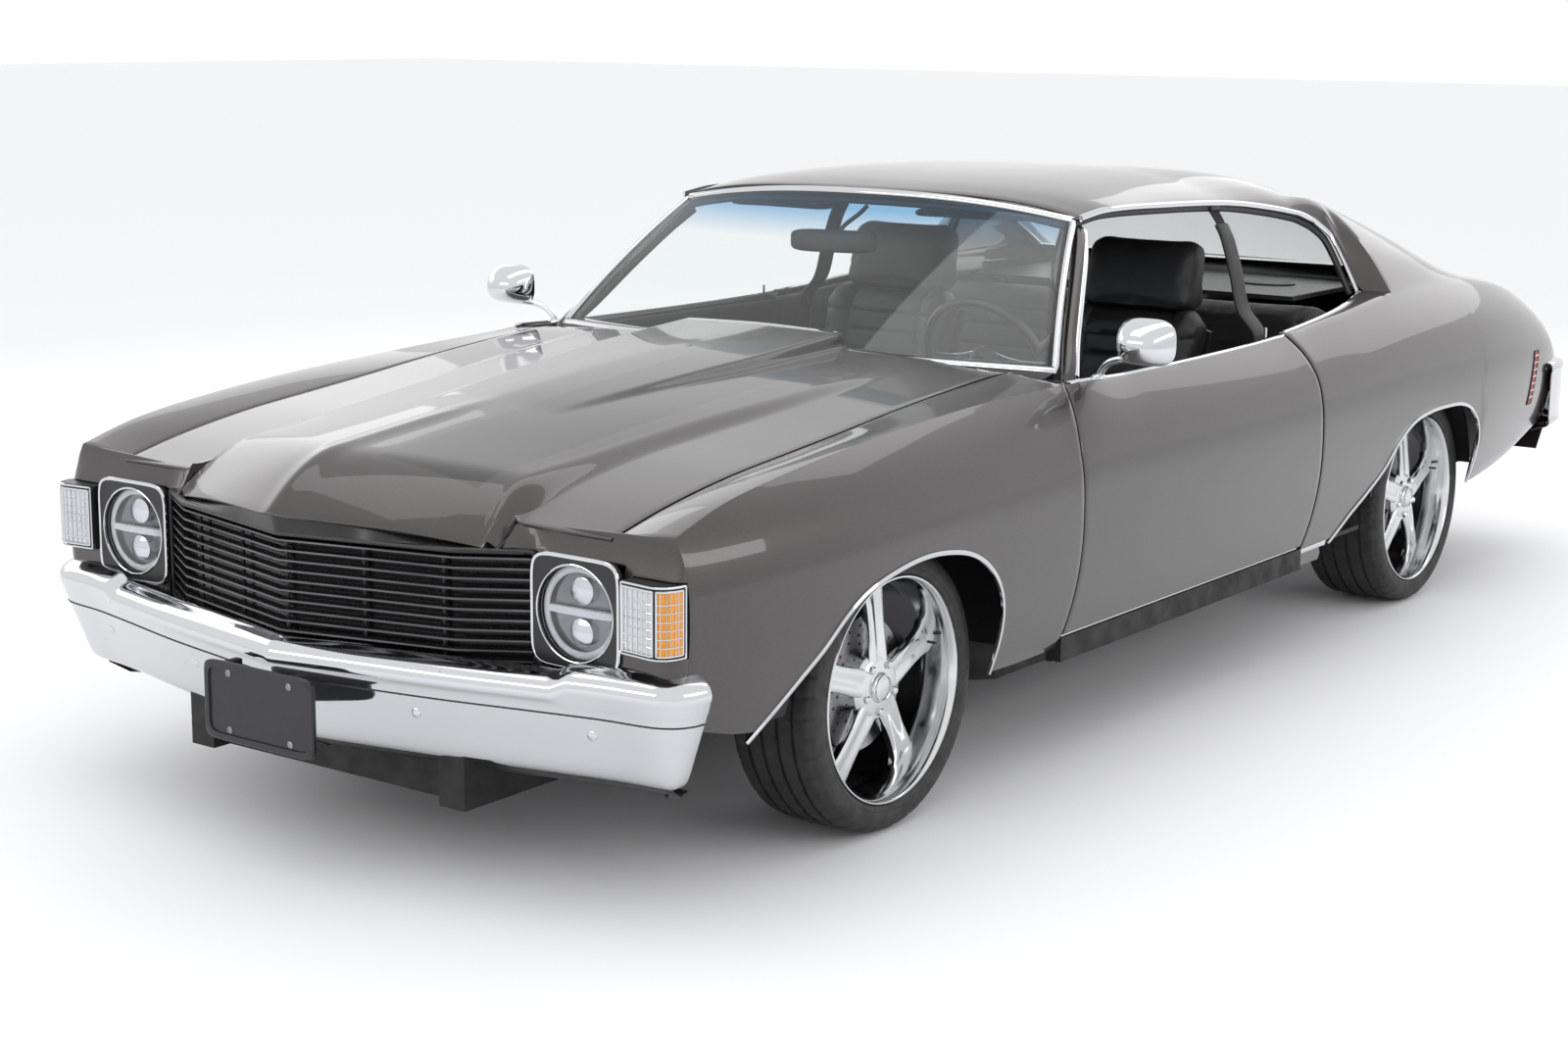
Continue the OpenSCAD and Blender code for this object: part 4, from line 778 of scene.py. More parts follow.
def upper_body():
    tail = stations(PILLAR_FOOT, 3960, 50)
    front = np.concatenate([np.linspace(ROOF_FRONT, 2500, 44), np.linspace(2506, 2632, 18)])
    s_all = np.concatenate([front, tail])
    rows = []
    for s in s_all:
        sec = upper_section(s)
        if s < ROOF_REAR:
            f = sec[:, 0] / curve(LOW_EDGE, s)[0]
            sec[:, 1] = [roof_shift(k, s) for k in f]
        rows.append(sec)
    outer = np.array(rows)
    deck = outer[s_all > 3112]
    flange = deck[:, -1:] - np.array([4, 0, 24])
    shares = np.linspace(1, -1, 41) * SECTION_F[3]
    roof_s = front[front <= ROOF_REAR]
    centre = np.array([[roof_point(k, s) for k in shares] for s in roof_s])
    centre[..., 1] = [[roof_shift(k, s) for k in shares] for s in roof_s]
    centre[:, 0] = outer[: len(centre), -1]
    centre[:, -1] = centre[:, 0] * np.array([-1, 1, 1])
    s_side = np.concatenate([stations(DOOR_REAR + GAP, 2560, 40, 2125, 2010), front[front > 2562], tail])
    side = side_grid(s_side, quarter_shift, 32)
    strip = []
    for s in s_side[s_side <= PILLAR_FOOT]:
        c, x = crest(s), curve(STRIP_X, s)
        end = low_edge(s) if s > 2605 else np.array([x, s, c[2] + 3])
        bend = float(quarter_shift(s, c[2]))
        line = [mix(c, end, u) + np.array([0, bend, 2 * math.sin(math.pi * u)]) for u in np.linspace(0, 1, 6)]
        strip.append(line + [line[-1] - np.array([0, 0, 20 if s < 2600 else 2])])
    grids = [side, np.array(strip), outer, np.concatenate([deck[:, -1:], flange], 1)]
    ob = shell("roof_and_quarters", grids, "paint", thick=5, edge=1.6, sides=0, middle=[centre])
    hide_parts("roof", "sail_panels", "quarter_left", "quarter_right")


# ---- glass ----
def shield_at(f, v):
    """The windshield at a share f of its half width and v of its height."""
    f, v = np.broadcast_arrays(np.asarray(f, float), v)
    b = points(770 * f, 722 + 84 * f * f, 914)
    t = points(610 * f, 1106 + 42 * f * f, 1288 - 46 * np.abs(f) ** 2.5)
    bow = 44 * v * (1 - v)
    return mix(b, t, v[..., None]) + points(0, -bow, bow)


def back_at(f, v):
    """The rear glass at a share f of its half width and v of its height, from the top."""
    f, v = np.broadcast_arrays(np.asarray(f, float), v)
    t = points(563 * f, 2492 - 40 * f * f, 1256 - 24 * np.abs(f) ** 2.5)
    b = points(649 * f, 3172 - 66 * f * f, 968 + 12 * f * f)
    bow = v * (1 - v)
    return mix(t, b, v[..., None]) + points(0, 24 * bow, 32 * bow)


def glass():
    f, v = row(1, -1, 41), column(0, 1, 25)
    ob = shell("windshield_glass", [shield_at(f * 0.992, v)], "shield", thick=5, edge=0.8)
    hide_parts("windshield")
    ob = shell("rear_window_glass", [back_at(f * 0.99, v)], "glass", thick=5, edge=0.8)
    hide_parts("rear_glass")


def outline(fn, inset=1.0, n=40):
    """Closed path round a glass: bottom, one side, top, other side, with the surface's outward direction."""
    k = np.linspace(-1, 1, n)
    v = np.linspace(0, 1, n)
    parts = [fn(k, 0 * k), fn(0 * v + 1, v), fn(-k, 0 * k + 1), fn(0 * v - 1, 1 - v)]
    path = np.concatenate([p[:-1] for p in parts])
    keep = np.concatenate([[True], np.linalg.norm(np.diff(path, axis=0), axis=1) > 1])
    return path[keep] * np.array([inset, 1, 1])


def glass_trim():
    section = [(-3, -9), (2, -9), (5, -5), (6, 0), (5, 5), (2, 9), (-3, 9)]
    for name, fn, out in (("windshield_trim", shield_at, (0, -0.85, 0.5)), ("rear_window_trim", back_at,
                                                                         (0, 0.35, 0.93))):
        solid_sweep(name, [outline(fn)], section, out, "chrome", closed=True)
        rubber = outline(fn) * np.array([0.985, 1, 1]) - 4 * np.array(out)
        solid_sweep(name + "_seal", [rubber], oval(6, 13, 8), out, "black", closed=True)


def pillars():
    """Windshield posts and header rail."""
    half = [(800, 812, 856), (797, 824, 898), (756, 896, 972), (709, 993, 1068), (661, 1090, 1158),
            (622, 1152, 1214), (580, 1164, 1229), (400, 1156, 1254), (200, 1148, 1262)]
    path = half + [(0, 1146, 1264)] + [(-x, s, z) for x, s, z in half[::-1]]
    ob = solid_sweep("windshield_posts", [smooth_path(path, 120)], oval(13, 19, 12), (0.02, -0.5, 0.86),
                     "paint")
    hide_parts("windshield_frame")
    edge = smooth_path([(x + 17, s + 8, z + 3) for x, s, z in half[1:6]], 40)
    solid_sweep("post_chrome", [edge], oval(5, 8, 8), (1, 0, 0.3), "chrome", sides=0)
    inner = smooth_path([(x - 12, s + 20, z - 8) for x, s, z in half[:6]], 40)
    solid_sweep("post_lining", [inner], oval(9, 14, 8), (-1, 0.5, 0), "black", sides=0)


def drip_rails():
    path = [low_edge(k) for k in np.linspace(1150, OPENING_REAR, 90)]
    path += [(655, 2590, 1108), (680, 2602, 1052), (706, 2604, 1000), (735, 2600, 958)]
    path = smooth_path(np.array(path)[::3], 160)
    solid_sweep("drip_rails", [path + np.array([3, 0, -1])], [(-4, -9), (3, -8), (6, -3), (5, 3), (1, 8),
            (-4, 7)], (1, 0, 0.15), "chrome", sides=0)
    seal = path + np.array([-14, -6, -12])
    solid_sweep("side_window_seals", [seal], oval(9, 13, 10), (1, 0, 0.15), "black", sides=0)


def belt_trims():
    s = np.linspace(DOOR_FRONT + 70, DOOR_REAR - 52, 40)
    door = points(curve(CREST_X, s) - 9, s, curve(CREST_Z, s) + 0.5)
    section = [(-2, -6), (2, -5), (4, 0), (2, 5), (-2, 6)]
    for side, body in ((1, "door_left"), (-1, "door_right")):
        solid_sweep(body + "_belt_trim", [door], section, (0.3, 0, 1), "chrome", body, sides=side)
    s = np.linspace(DOOR_REAR - 30, 2598, 40)
    back = points(curve(STRIP_X, s) + 3, s, curve(CREST_Z, s) + 5)
    solid_sweep("quarter_belt_trims", [back], section, (0.2, 0, 1), "chrome", sides=0)


def arch_trims():
    section = [(-3, -5), (3, -5), (5, 0), (3, 5), (-3, 5)]
    paths = []
    for arch, axle in ((FRONT_ARCH, 0), (REAR_ARCH, WHEELBASE)):
        a = np.array(arch, float)
        pts = smooth_path(np.column_stack([0 * a[:, 0], a[:, 0] + axle, a[:, 1]]), 90)
        pts[:, 0] = side_x(pts[:, 1], pts[:, 2]) + 0.5
        paths.append(pts)
    solid_sweep("arch_trims", paths, section, (1, 0, 0.05), "chrome", sides=0)
    sill = np.linspace(DOOR_FRONT, DOOR_REAR + 180, 30)
    rocker = points(side_x(sill, SILL_TOP - 8) - 8, sill, SILL_TOP - 10)
    solid_sweep("rocker_trims", [rocker], [(-6, -14), (2, -12), (5, 0), (2, 12), (-6, 14)], (1, 0, 0),
                "chrome", sides=0)
    skirt = points(side_x(sill, 290) - 24, sill, 282)
    solid_sweep("rocker_panels", [skirt], [(-8, -22), (6, -20), (12, 10), (6, 30), (-8, 30)], (1, 0, 0),
                "paint", sides=0)


# ---- hood, trunk lid, deck and tail ----
CREASE = [(-830, 440, 802), (-700, 400, 824), (-500, 398, 842), (-300, 406, 862), (-100, 420, 882),
          (100, 439, 898), (300, 457, 913), (700, 490, 934)]
SPINE_Z = [(-993, 838), (-889, 850), (-730, 868), (-334, 906), (0, 926), (300, 938), (700, 948)]


def hood_front(x):
    a = np.abs(x)
    return np.where(a < 468, -990 + 172 * (a / 468) ** 1.15, -775 + 12 * (a - 468) / 240)


def hood_z(x, s):
    """The hood's height: raised middle with its scoop, crease, flank and rolled nose."""
    a = np.abs(x)
    cz = curve(CREASE, s)
    xc, zc = cz[..., 0], cz[..., 1]
    zg, spine = curve(GAP_Z, s), curve(SPINE_Z, s)
    d = s - hood_front(x)
    nose = np.where((a < 468) & (d < 200), (1 - d / 200) ** 2, 0)
    u = np.clip((s + 320) / (HOOD_REAR + 320), 0, 1)
    w = mix(196, 264, np.minimum(1, u * 1.6))
    scoop = 36 * u**0.9 * ease((w - a) / 30)
    ridge = 5 * np.exp(-((a / 26) ** 2)) * ease((-s - 250) / 300)
    inside = zc + (spine - zc) * (1 - np.minimum(a / xc, 1) ** 1.4) + scoop + ridge - 92 * nose
    fall = mix(zc, zg + 8, ease((a - xc) / 72)) - 78 * nose
    out = mix(zg + 8, zg, (a - xc - 72) / (HOOD_HALF - xc - 72))
    return np.where(a < xc, inside, np.where(a < xc + 72, fall, out))


def hood():
    x = np.concatenate([np.linspace(HOOD_HALF, 574, 8), np.linspace(560, 474, 12), [470, 466],
                        np.linspace(460, 300, 22), np.linspace(292, 180, 22), np.linspace(170, 0, 16)])
    x = np.concatenate([x, -x[-2::-1]])
    u = np.concatenate([np.linspace(0, 0.22, 15)[:-1], np.linspace(0.22, 1, 44)])[:, None]
    s = mix(hood_front(x)[None, :], HOOD_REAR, u**1.15)
    ob = shell("hood_panel", [points(x[None, :], s, hood_z(x[None, :], s))], "hood", "hood",
               thick=7, edge=2.5)
    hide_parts("hood")
    x, u, s = x[::3], u[::2], s[::2, ::3]
    under = points(x[None, :] * 0.95, mix(s, -100, 0.04), hood_z(x[None, :] * 0.95, s) - 22)
    ribs = 7 * np.abs(np.sin(x[None, :] / 88)) ** 0.5 * ease((u - 0.04) / 0.08) * ease((0.96 - u) / 0.06)
    under[..., 2] += ribs
    shell("hood_lining", [under[:, ::-1]], "frame", "hood", thick=4, edge=0)
    mesh = np.linspace(-255, 255, 24)
    back = points(mesh, HOOD_REAR - 5, hood_z(mesh, HOOD_REAR - 5) - 16)
    solid_sweep("cowl_scoop_mesh", [back], oval(2, 9, 8), (0, 1, 0), "black", "hood")


def lid_at(f, s):
    """The trunk lid's surface at a share f of its half width."""
    f, s = np.broadcast_arrays(np.asarray(f, float), s)
    return points(LID_HALF * f, s, curve(LID_Z, s) + 14 * (1 - f * f))


def trunk_and_deck():
    f = row(1, -1, 45)
    s = mix(LID_S0 - 12 * f * f, LID_S1, column(0, 1, 40))
    g = lid_at(f, s)
    lip = np.concatenate([g, g[-1:] + np.array([0, 5, -7]), g[-1:] + np.array([0, 6, -26])])
    ob = shell("trunk_lid_panel", [lip], "paint", "trunk_lid", thick=6, edge=2)
    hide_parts("trunk_lid")
    pin_s, pin_z = 3130.0, 927.836
    arm = [(600, pin_s + 3, pin_z - 5), (600, pin_s + 60, pin_z - 90), (600, pin_s + 130, pin_z - 90),
           (600, pin_s + 152, pin_z + 22)]
    solid_sweep("trunk_arms", [smooth_path(arm, 30)], oval(6, 6, 10), (1, 0, 0), "frame", "trunk_lid",
                sides=0)
    u = column(0, 1, 12)
    f0 = f * np.ones_like(u)
    a = back_at(f0, 1) + np.array([0, 2, -1])
    b = lid_at(f0, LID_S0 - GAP - 3 - 12 * f0 * f0)
    deck = mix(a, b, u[..., None])
    deck = np.concatenate([deck, deck[-1:] - np.array([0, -1, 18])])
    ob = shell("rear_deck_panel", [deck], "paint", thick=4, edge=1.2)
    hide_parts("rear_deck")


def tail():
    f = row(1, -1, 61)
    v = column(0, 1, 26)
    f0, v0 = np.broadcast_arrays(f, v)
    a = lid_at(f0, LID_S1) + np.array([0, 12, -3])
    b = points(858 * f0, 3958, 636)
    bow = -16 * v0 * (1 - v0)
    g = points(mix(a[..., 0], b[..., 0], v0**2.2), mix(a[..., 1], b[..., 1], v0) + bow,
               mix(a[..., 2], b[..., 2], v0))
    ob = shell("tail_panel_skin", [g], "paint", thick=5, edge=1.5)
    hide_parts("tail_panel")
    x, k = column(862, 642, 34), row(0, 1, 8)
    top = np.where(x <= 800, 770 - (x - 642) * 55 / 158, 600 + 115 * ((866 - x) / 66) ** (1 / 3)) - 3
    shell("quarter_ends", [points(x, 3956, mix(600, top, k))], "paint", thick=4, edge=1, sides=0)
    w = column(0, 1, 10)
    under = points(850 * f, mix(3960, 3880, w), mix(430, 330, w))
    shell("rear_valance", [under], "paint", thick=5, edge=1.5)
    band = points(np.linspace(-600, 600, 30), 3934, 730)
    solid_sweep("tail_trim", [band], [(-2, -26), (3, -25), (5, 0), (3, 25), (-2, 26)], (0, 1, 0.3), "satin")


# ---- lofts ----
def squircle(w, h, p=6.0, n=96):
    """Rounded rectangle of half sides w and h, as (across, up)."""
    t = angles(n)
    c, s = np.cos(t), np.sin(t)
    r = (np.abs(c) ** p + np.abs(s) ** p) ** (-1 / p)
    return np.stack([w * r * c, h * r * s], -1)


def ring_at(shape, x, s, z):
    """A flat outline standing across the car."""
    return points(x + shape[:, 0], s, z + shape[:, 1])


def loft_part(rings, loop=False):
    """Verts and faces of a skin through equal rings, capped at its ends or closed on itself."""
    g = np.array(rings, float)
    return to_row(g).reshape(-1, 3), tube_faces(*g.shape[:2], loop=loop)


def edge_path(g):
    """Closed path round a grid's edge."""
    return np.concatenate([g[:, 0], g[-1, 1:], g[-2::-1, -1], g[0, -2:0:-1]])


def two(parts):
    """Parts and their mirror images."""
    return parts + [(on_side(v, -1), f) for v, f in parts]


def circle_path(centre, r, n=72):
    """A circle that faces along the car."""
    t = angles(n)
    return np.stack([r * np.cos(t), 0 * t, r * np.sin(t)], -1) + np.array(centre, float)


def stacked_circles(x, s, rows, n, squash=1.0):
    """Level rings of (radius, height) about an upright axis."""
    t = angles(n)
    return [points(x + r * np.cos(t), s + squash * r * np.sin(t), z) for r, z in rows]


def block(lo, hi, r=8.0, n=40):
    """A box with rounded corners, lofted along the car."""
    c, h = (np.array(lo) + hi) / 2, (np.array(hi) - np.array(lo)) / 2
    p = max(3.0, min(14.0, min(h[0], h[2]) / max(r, 1) * 2.2))
    r = min(r, h.min() * 0.9)
    rings = []
    for end, k in ((-1, 0.0), (-1, 0.6), (-1, 1.0), (1, 1.0), (1, 0.6), (1, 0.0)):
        shrink = r * (1 - math.sin(k * math.pi / 2))
        s = c[1] + end * (h[1] - r * (1 - math.cos(k * math.pi / 2)))
        rings.append(ring_at(squircle(h[0] - shrink, h[2] - shrink, p, n), c[0], s, c[2]))
    return loft_part(rings)


# ---- nose ----
def nose_s(x, z):
    """Station of the nose beside the grille: it leans back at the top and rolls into the fender."""
    lean = 38 * (1 - ease((z - 600) / 170))
    edge = side_x(-757.0, z)
    u = np.clip((x - edge + 40) / 40, 0, 1)
    return -757 - lean * np.sqrt(1 - u * u)


def runs(*spans):
    """Evenly spaced (start, end, count) runs, each without its last value."""
    return np.concatenate([np.linspace(a, b, n)[:-1] for a, b, n in spans])


def nose_panels():
    xs = runs((536, 545, 3), (545, 751, 15), (751, 772, 5))
    low = runs((450, 499, 8), (499, 543, 6), (543, 690, 16), (690, 705, 4))
    rows = []
    for z0, t in [(z, 0.0) for z in low] + [(705.0, t) for t in np.linspace(0, 1, 14)]:
        inner = mix(536, 466, min(1, 8 * t))
        x = np.where(xs < 751, inner + (xs - 536) * (751 - inner) / 215, xs)
        edge = float(side_x(-757.0, mix(z0, 770, t)))
        x = np.concatenate([x, mix(772, edge, np.linspace(0, 1, 26))])
        z = mix(z0, np.minimum(755 + 15 * (x - 475) / 384, 770), t)
        ahead = (50 - 32 * t) * ease((536 - x) / 66) * min(1, 12 * t)
        rows.append(points(x, nose_s(x, z) - ahead, z))
    g = np.array(rows).transpose(1, 0, 2)
    skip = {(i, j) for i in range(2, 16) for j in range(7, 30)}
    skip |= {(i, j) for i in range(20, 45) for j in range(12, 27)}
    ob = shell("nose_panels", [g], "paint", thick=5, edge=1.5, sides=0, skip=skip)
    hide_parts("header_panel")


def headlights():
    x, z = 648.0, 602.0
    square, ring = squircle(110, 111, 7), squircle(1, 1, 2)
    rings = [ring_at(square, x, -784, z), ring_at(square, x, -799, z), ring_at(square * 0.985, x, -802, z),
             ring_at(ring * 100, x, -801, z), ring_at(ring * 97, x, -797, z), ring_at(ring * 95, x, -764, z)]
    ob = join("headlight_bezels", two([loft_part(rings, loop=True)]), "trim")
    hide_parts("headlights")
    outline_path = ring_at(square, x, -800, z)
    solid_sweep("headlight_frames", [outline_path], oval(3.4, 4.2, 8), (0, -1, 0), "chrome", closed=True,
                sides=0)
    solid_sweep("headlight_rims", [circle_path((x, -800, z), 97)], oval(3, 2.6, 8), (0, -1, 0), "chrome",
                closed=True, sides=0)
    bowl = [ring_at(ring * r, x, s, z) for r, s in ((95, -768), (84, -757), (62, -748), (30, -743),
            (3, -742))]
    join("headlight_reflectors", two([loft_part(bowl)]), "reflector")
    glow = circle_path((x, -779, z), 85)
    solid_sweep("headlight_ring_lights", [glow], oval(5, 8, 10), (0, -1, 0), "led", closed=True, sides=0)
    bar = [ring_at(squircle(82, 7, 6), x, s, z) for s in (-772, -782)]
    join("headlight_bars", two([loft_part(bar)]), "led")
    bulbs = [disc_part((x, -776, z + k * 40), 27, 14, n=40, dome=8) for k in (1, -1)]
    join("headlight_projectors", two(bulbs), "mirror")
    join("headlight_lenses", two([disc_part((x, -790, z), 95, 3, n=96, dome=11)]), "lens")


LAMP_PLAN = [(772, -812), (815, -817), (855, -821), (872, -816), (884, -806), (892, -788), (896, -764)]


def corner_lamps():
    plan = smooth_path(LAMP_PLAN, 60)
    base = [(x - 3 * (x > 860), s + 7) for x, s in plan] + [(892, -746), (774, -746)]
    rings = [points(*np.transpose(base), z) for z in (545, 547, 686, 688)]
    ob = join("corner_lamp_housings", two([loft_part(rings)]), "trim", smooth=30)
    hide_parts("corner_lamps")
    edges = []
    for name, a, b, finish in (("clear", 3, 33, "clear_grid"), ("amber", 35, 57, "amber")):
        z = row(554, 679, 16)
        p = plan[a:b, None]
        g = points(p[..., 0], p[..., 1] - 1, z)
        ob = shell("corner_lamp_" + name, [g], finish, thick=6, edge=1.2, sides=0)
        edges.append(edge_path(g) + np.array([0, -1, 0]))
        n, m = g.shape[:2]
        grid = [g[:, int(k)] for k in np.linspace(0, m - 1, 8)[1:-1]]
        grid += [g[int(k)] for k in np.linspace(0, n - 1, 7)[1:-1]]
        solid_sweep("corner_lamp_bars_" + name, [q + np.array([0.3, -1.2, 0]) for q in grid],
                    oval(0.9, 1.1, 6), (0.3, -1, 0.01), "chrome", sides=0)
    outer = np.concatenate([points(plan[1:-1, 0], plan[1:-1, 1], 547), points(plan[-2, 0], plan[-2, 1],
                           np.linspace(560, 673, 8)), points(plan[-2:0:-1, 0], plan[-2:0:-1, 1], 686),
                           points(plan[1, 0], plan[1, 1], np.linspace(673, 560, 8))])
    solid_sweep("corner_lamp_frames", edges + [outer], oval(1.8, 2.2, 8), (0.25, -1, 0), "chrome",
                closed=True, sides=0)


def grille_s(x):
    return np.interp(np.abs(x), [0, 392, 534], [-966, -872, -786])


def grille():
    x = np.linspace(-530, 530, 107)
    levels = np.linspace(484, 692, 11)
    bars = [points(x, grille_s(x) + 11, z) for z in levels]
    ob = solid_sweep("grille_bars", bars, [(9, -2.4), (9, 2.4), (-2, 4), (-9, 4), (-9, -4), (-2, -4)],
                     (0, -1, 0), "satin")
    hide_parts("grille")
    # Lighter metal rods along the bars' front edges: painted highlight where light catches them.
    edge = [points(x, grille_s(x) + 1.5, z) for z in levels]
    solid_sweep("grille_bar_edge_highlights", edge, oval(1.5, 2.4, 8), (0, -1, 0), "edge")
    z = row(470, 706, 14)
    back = x[:, None]
    shell("grille_backing", [points(back, grille_s(back) + 36, z)], "satin", thick=4,
          edge=0)
    posts = [points(k, grille_s(k) + 24, np.linspace(472, 704, 4))
             for k in (-356.0, -178.0, 0.0, 178.0, 356.0)]
    solid_sweep("grille_posts", posts, oval(4, 5, 8), (0, -1, 0), "satin")
    loop = np.concatenate([points(x, grille_s(x) + 4, 471), points(534, -782, np.linspace(490, 690, 12)),
                           points(x[::-1], grille_s(x[::-1]) + 4, 706),
                           points(-534, -782, np.linspace(690, 490, 12))])
    solid_sweep("grille_surround", [loop], oval(9, 6, 10), (0, -1, 0), "trim", closed=True)
    u = row(0, 1, 8)
    xx = column(-470, 470, 95)
    lip_s, lip_z = hood_front(xx) + 14, hood_z(xx, hood_front(xx) + 6) - 12
    g = points(xx, mix(grille_s(xx) - 4, lip_s, u), mix(708, lip_z, u))
    shell("nose_lip", [g], "satin", thick=4, edge=1)


BUMPER = [(0, -1004), (200, -968), (400, -930), (600, -882), (740, -850), (860, -832), (905, -806),
          (928, -770), (934, -735)]


def bumper_path(line, n=70):
    """A bumper's plan from right to left, from the (across, station) points of its left half."""
    half = smooth_path(line, n)
    left = half[::-1] * np.array([-1, 1])
    return np.concatenate([left, half[1:]])


def bumper_grid(path, section, rise=None):
    """Grid from x = -wide to +wide, section given bottom to top as (inward, height)."""
    d = np.gradient(path, axis=0)
    d /= np.linalg.norm(d, axis=1)[:, None]
    out = np.stack([d[:, 1], -d[:, 0]], -1)
    g = []
    for p, o in zip(path, out):
        up = 0 if rise is None else rise(abs(p[0]))
        g.append([(p[0] - o[0] * k, p[1] - o[1] * k, z + up * (z > 440)) for k, z in section])
    return np.array(g)


def front_bumper():
    path = bumper_path(BUMPER)
    section = smooth_path([(116, 268), (84, 272), (66, 288), (42, 350), (20, 410), (10, 436), (1, 446),
                           (0, 458), (5, 472), (16, 482), (32, 490), (44, 497)], 40)
    g = bumper_grid(path, section, lambda x: 15 * float(ease((x - 640) / 40)))
    ob = shell("front_bumper_bar", [g], "chrome", thick=4, edge=1.5)
    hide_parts("front_bumper")
    # A thin black line along the bumper's crease: painted shade.
    crease = bumper_grid(path, [(19, 409), (18, 412), (17, 416)])[:, 1]
    solid_sweep("front_bumper_crease_shade", [crease], oval(1.0, 1.2, 8), (0, -1, 0), "black")
    line = bumper_grid(path, [(34, 376)])[:, 0]
    bolts = [disc_part(line[np.abs(path[:, 0] - x).argmin()], 13, 8, n=32, dome=6) for x in (330, 716)]
    join("front_bumper_bolts", two(bolts), "chrome")
    # A black panel below and behind the bumper: it stands for the valance there, and its black is painted
    # shadow under the bumper.
    apron = bumper_grid(path[4:-4], [(190, 236), (150, 238), (104, 262), (92, 276)])
    shell("front_valance_and_shadow", [apron], "black", thick=4, edge=1)


def plate_bracket():
    z = 352
    steps = [(1, -1024), (0, -1026), (0, -1032), (3, -1034)]
    rings = [ring_at(squircle(160 - a, 84 - a, 12), 0, s, z) for a, s in steps]
    rings += [ring_at(squircle(146, 70, 12), 0, -1034, z), ring_at(squircle(145, 69, 12), 0, -1030, z)]
    ob = join("plate_holder", [loft_part(rings)], "trim", smooth=30)
    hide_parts("plate_bracket")
    arms = [block((x - 10, -1024, 416), (x + 10, -988, 436), 3) for x in (100, -100)]
    join("plate_holder_arms", arms, "frame")
    bolts = [disc_part((x, -1031, z), 8, 5, n=24, dome=2.5) for x in (-89, 89) for z in (291.5, 412.5)]
    join("plate_bolts", bolts, "steel")


# ---- tail ----
REAR = [(0, 4012), (500, 4010), (800, 4000), (888, 3966), (916, 3880), (922, 3790)]


def rear_bumper():
    path = bumper_path(REAR)[::-1]
    section = smooth_path([(60, 404), (40, 412), (10, 422), (1, 434), (3, 446), (3.5, 456), (3.5, 588),
                           (3, 598), (0.5, 608), (2, 620), (8, 631), (34, 638)], 44)
    ob = shell("rear_bumper_bar", [bumper_grid(path, section)], "chrome", thick=4, edge=1.5)
    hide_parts("rear_bumper")
    # A thin black line in the bumper's groove under its ridge: painted shade.
    groove = bumper_grid(path, [(3.5, 600)])[:, 0]
    solid_sweep("rear_bumper_groove_shade", [groove[4:-4]], oval(1.2, 1.2, 8), (0, 1, 0), "black")
    discs, rims, cores = [], [], []
    z = 520
    for x in (560, 742):
        s, s1 = np.interp((x, x + 10), path[::-1, 0], path[::-1, 1])
        lean = np.array([0, (s1 - s) / 10, 0])
        t = angles(72)
        rings = [points(x + r * np.cos(t), s + k + lean[1] * r * np.cos(t), z + r * np.sin(t))
                 for r, k in ((75, -14), (75, -1), (70, 0), (52, 1.2), (28, 1.8), (2, 2))]
        discs.append(loft_part(rings))
        rims.append(circle_path((x, s - 2, z), 78))
        rims[-1] += (rims[-1][:, :1] - x) * lean
        cores.append(circle_path((x, s + 0.5, z), 34))
        cores[-1] += (cores[-1][:, :1] - x) * lean
    ob = join("tail_lamp_lenses", two(discs), "red")
    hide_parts("tail_lamps")
    solid_sweep("tail_lamp_rims", rims, oval(3.5, 5, 10), (0, 1, 0), "chrome", closed=True, sides=0)
    solid_sweep("tail_lamp_bezels", cores, oval(1.2, 3, 8), (0, 1, 0), "chrome", closed=True, sides=0)


def side_markers():
    """A slatted lamp on each rear corner, leaning with the bumper."""
    z = row(524, 690, 24)
    u = column(0, 1, 12)
    s = 3560 + 60 * (z - 524) / 166 + 44 * u
    g = points(side_x(s, z) + 1.5, s, z)
    shell("rear_side_markers", [g], "red", thick=4, edge=1, sides=0)
    solid_sweep("rear_marker_frames", [edge_path(g)], oval(2, 2.5, 8), (1, 0, 0), "black", closed=True,
                sides=0)
    slats = [g[:, k] for k in range(3, 23, 3)]
    solid_sweep("rear_marker_slats", slats, oval(2, 3, 8), (1, 0, 0), "chrome", sides=0)


def door_furniture():
    for side, body, node_name in ((1, "door_left", "mirror_left"), (-1, "door_right", "mirror_right")):
        x, z = 992.0, 998.0
        rings = [ring_at(squircle(w, h, p), x, s, z + dz) for w, h, p, s, dz in (
            (8, 5, 2.2, 772, -6), (26, 18, 2.3, 774, -6), (43, 31, 2.5, 783, -5), (57, 42, 2.7, 798, -3),
            (67, 50, 2.9, 818, -1), (73, 54, 3.1, 836, 0), (74, 55.5, 3.2, 844, 0), (74, 55.5, 3.2, 848, 0),
            (70, 52, 3.2, 849, 0), (69, 51, 3.2, 846, 0))]
        stem = smooth_path([(856, 862, 898), (862, 861, 914), (884, 856, 938), (916, 848, 950),
                            (950, 830, 956), (972, 822, 962)], 30)
        grid = sweep(stem, oval(8, 9, 16), (0, 1, 0))
        foot_rings = stacked_circles(856, 862, ((17, 896), (17, 903), (14, 907), (7, 910)), 40, 1.5)
        parts = [loft_part(r) for r in (rings, grid, foot_rings)]
        ob = join(body + "_mirror", [(on_side(v, side), f) for v, f in parts], "chrome", body)
        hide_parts(node_name)
        v, f = loft_part([ring_at(squircle(68, 50, 3.2), x, s, z) for s in (844.5, 847.2)])
        join(body + "_mirror_glass", [(on_side(v, side), f)], "mirror", body)


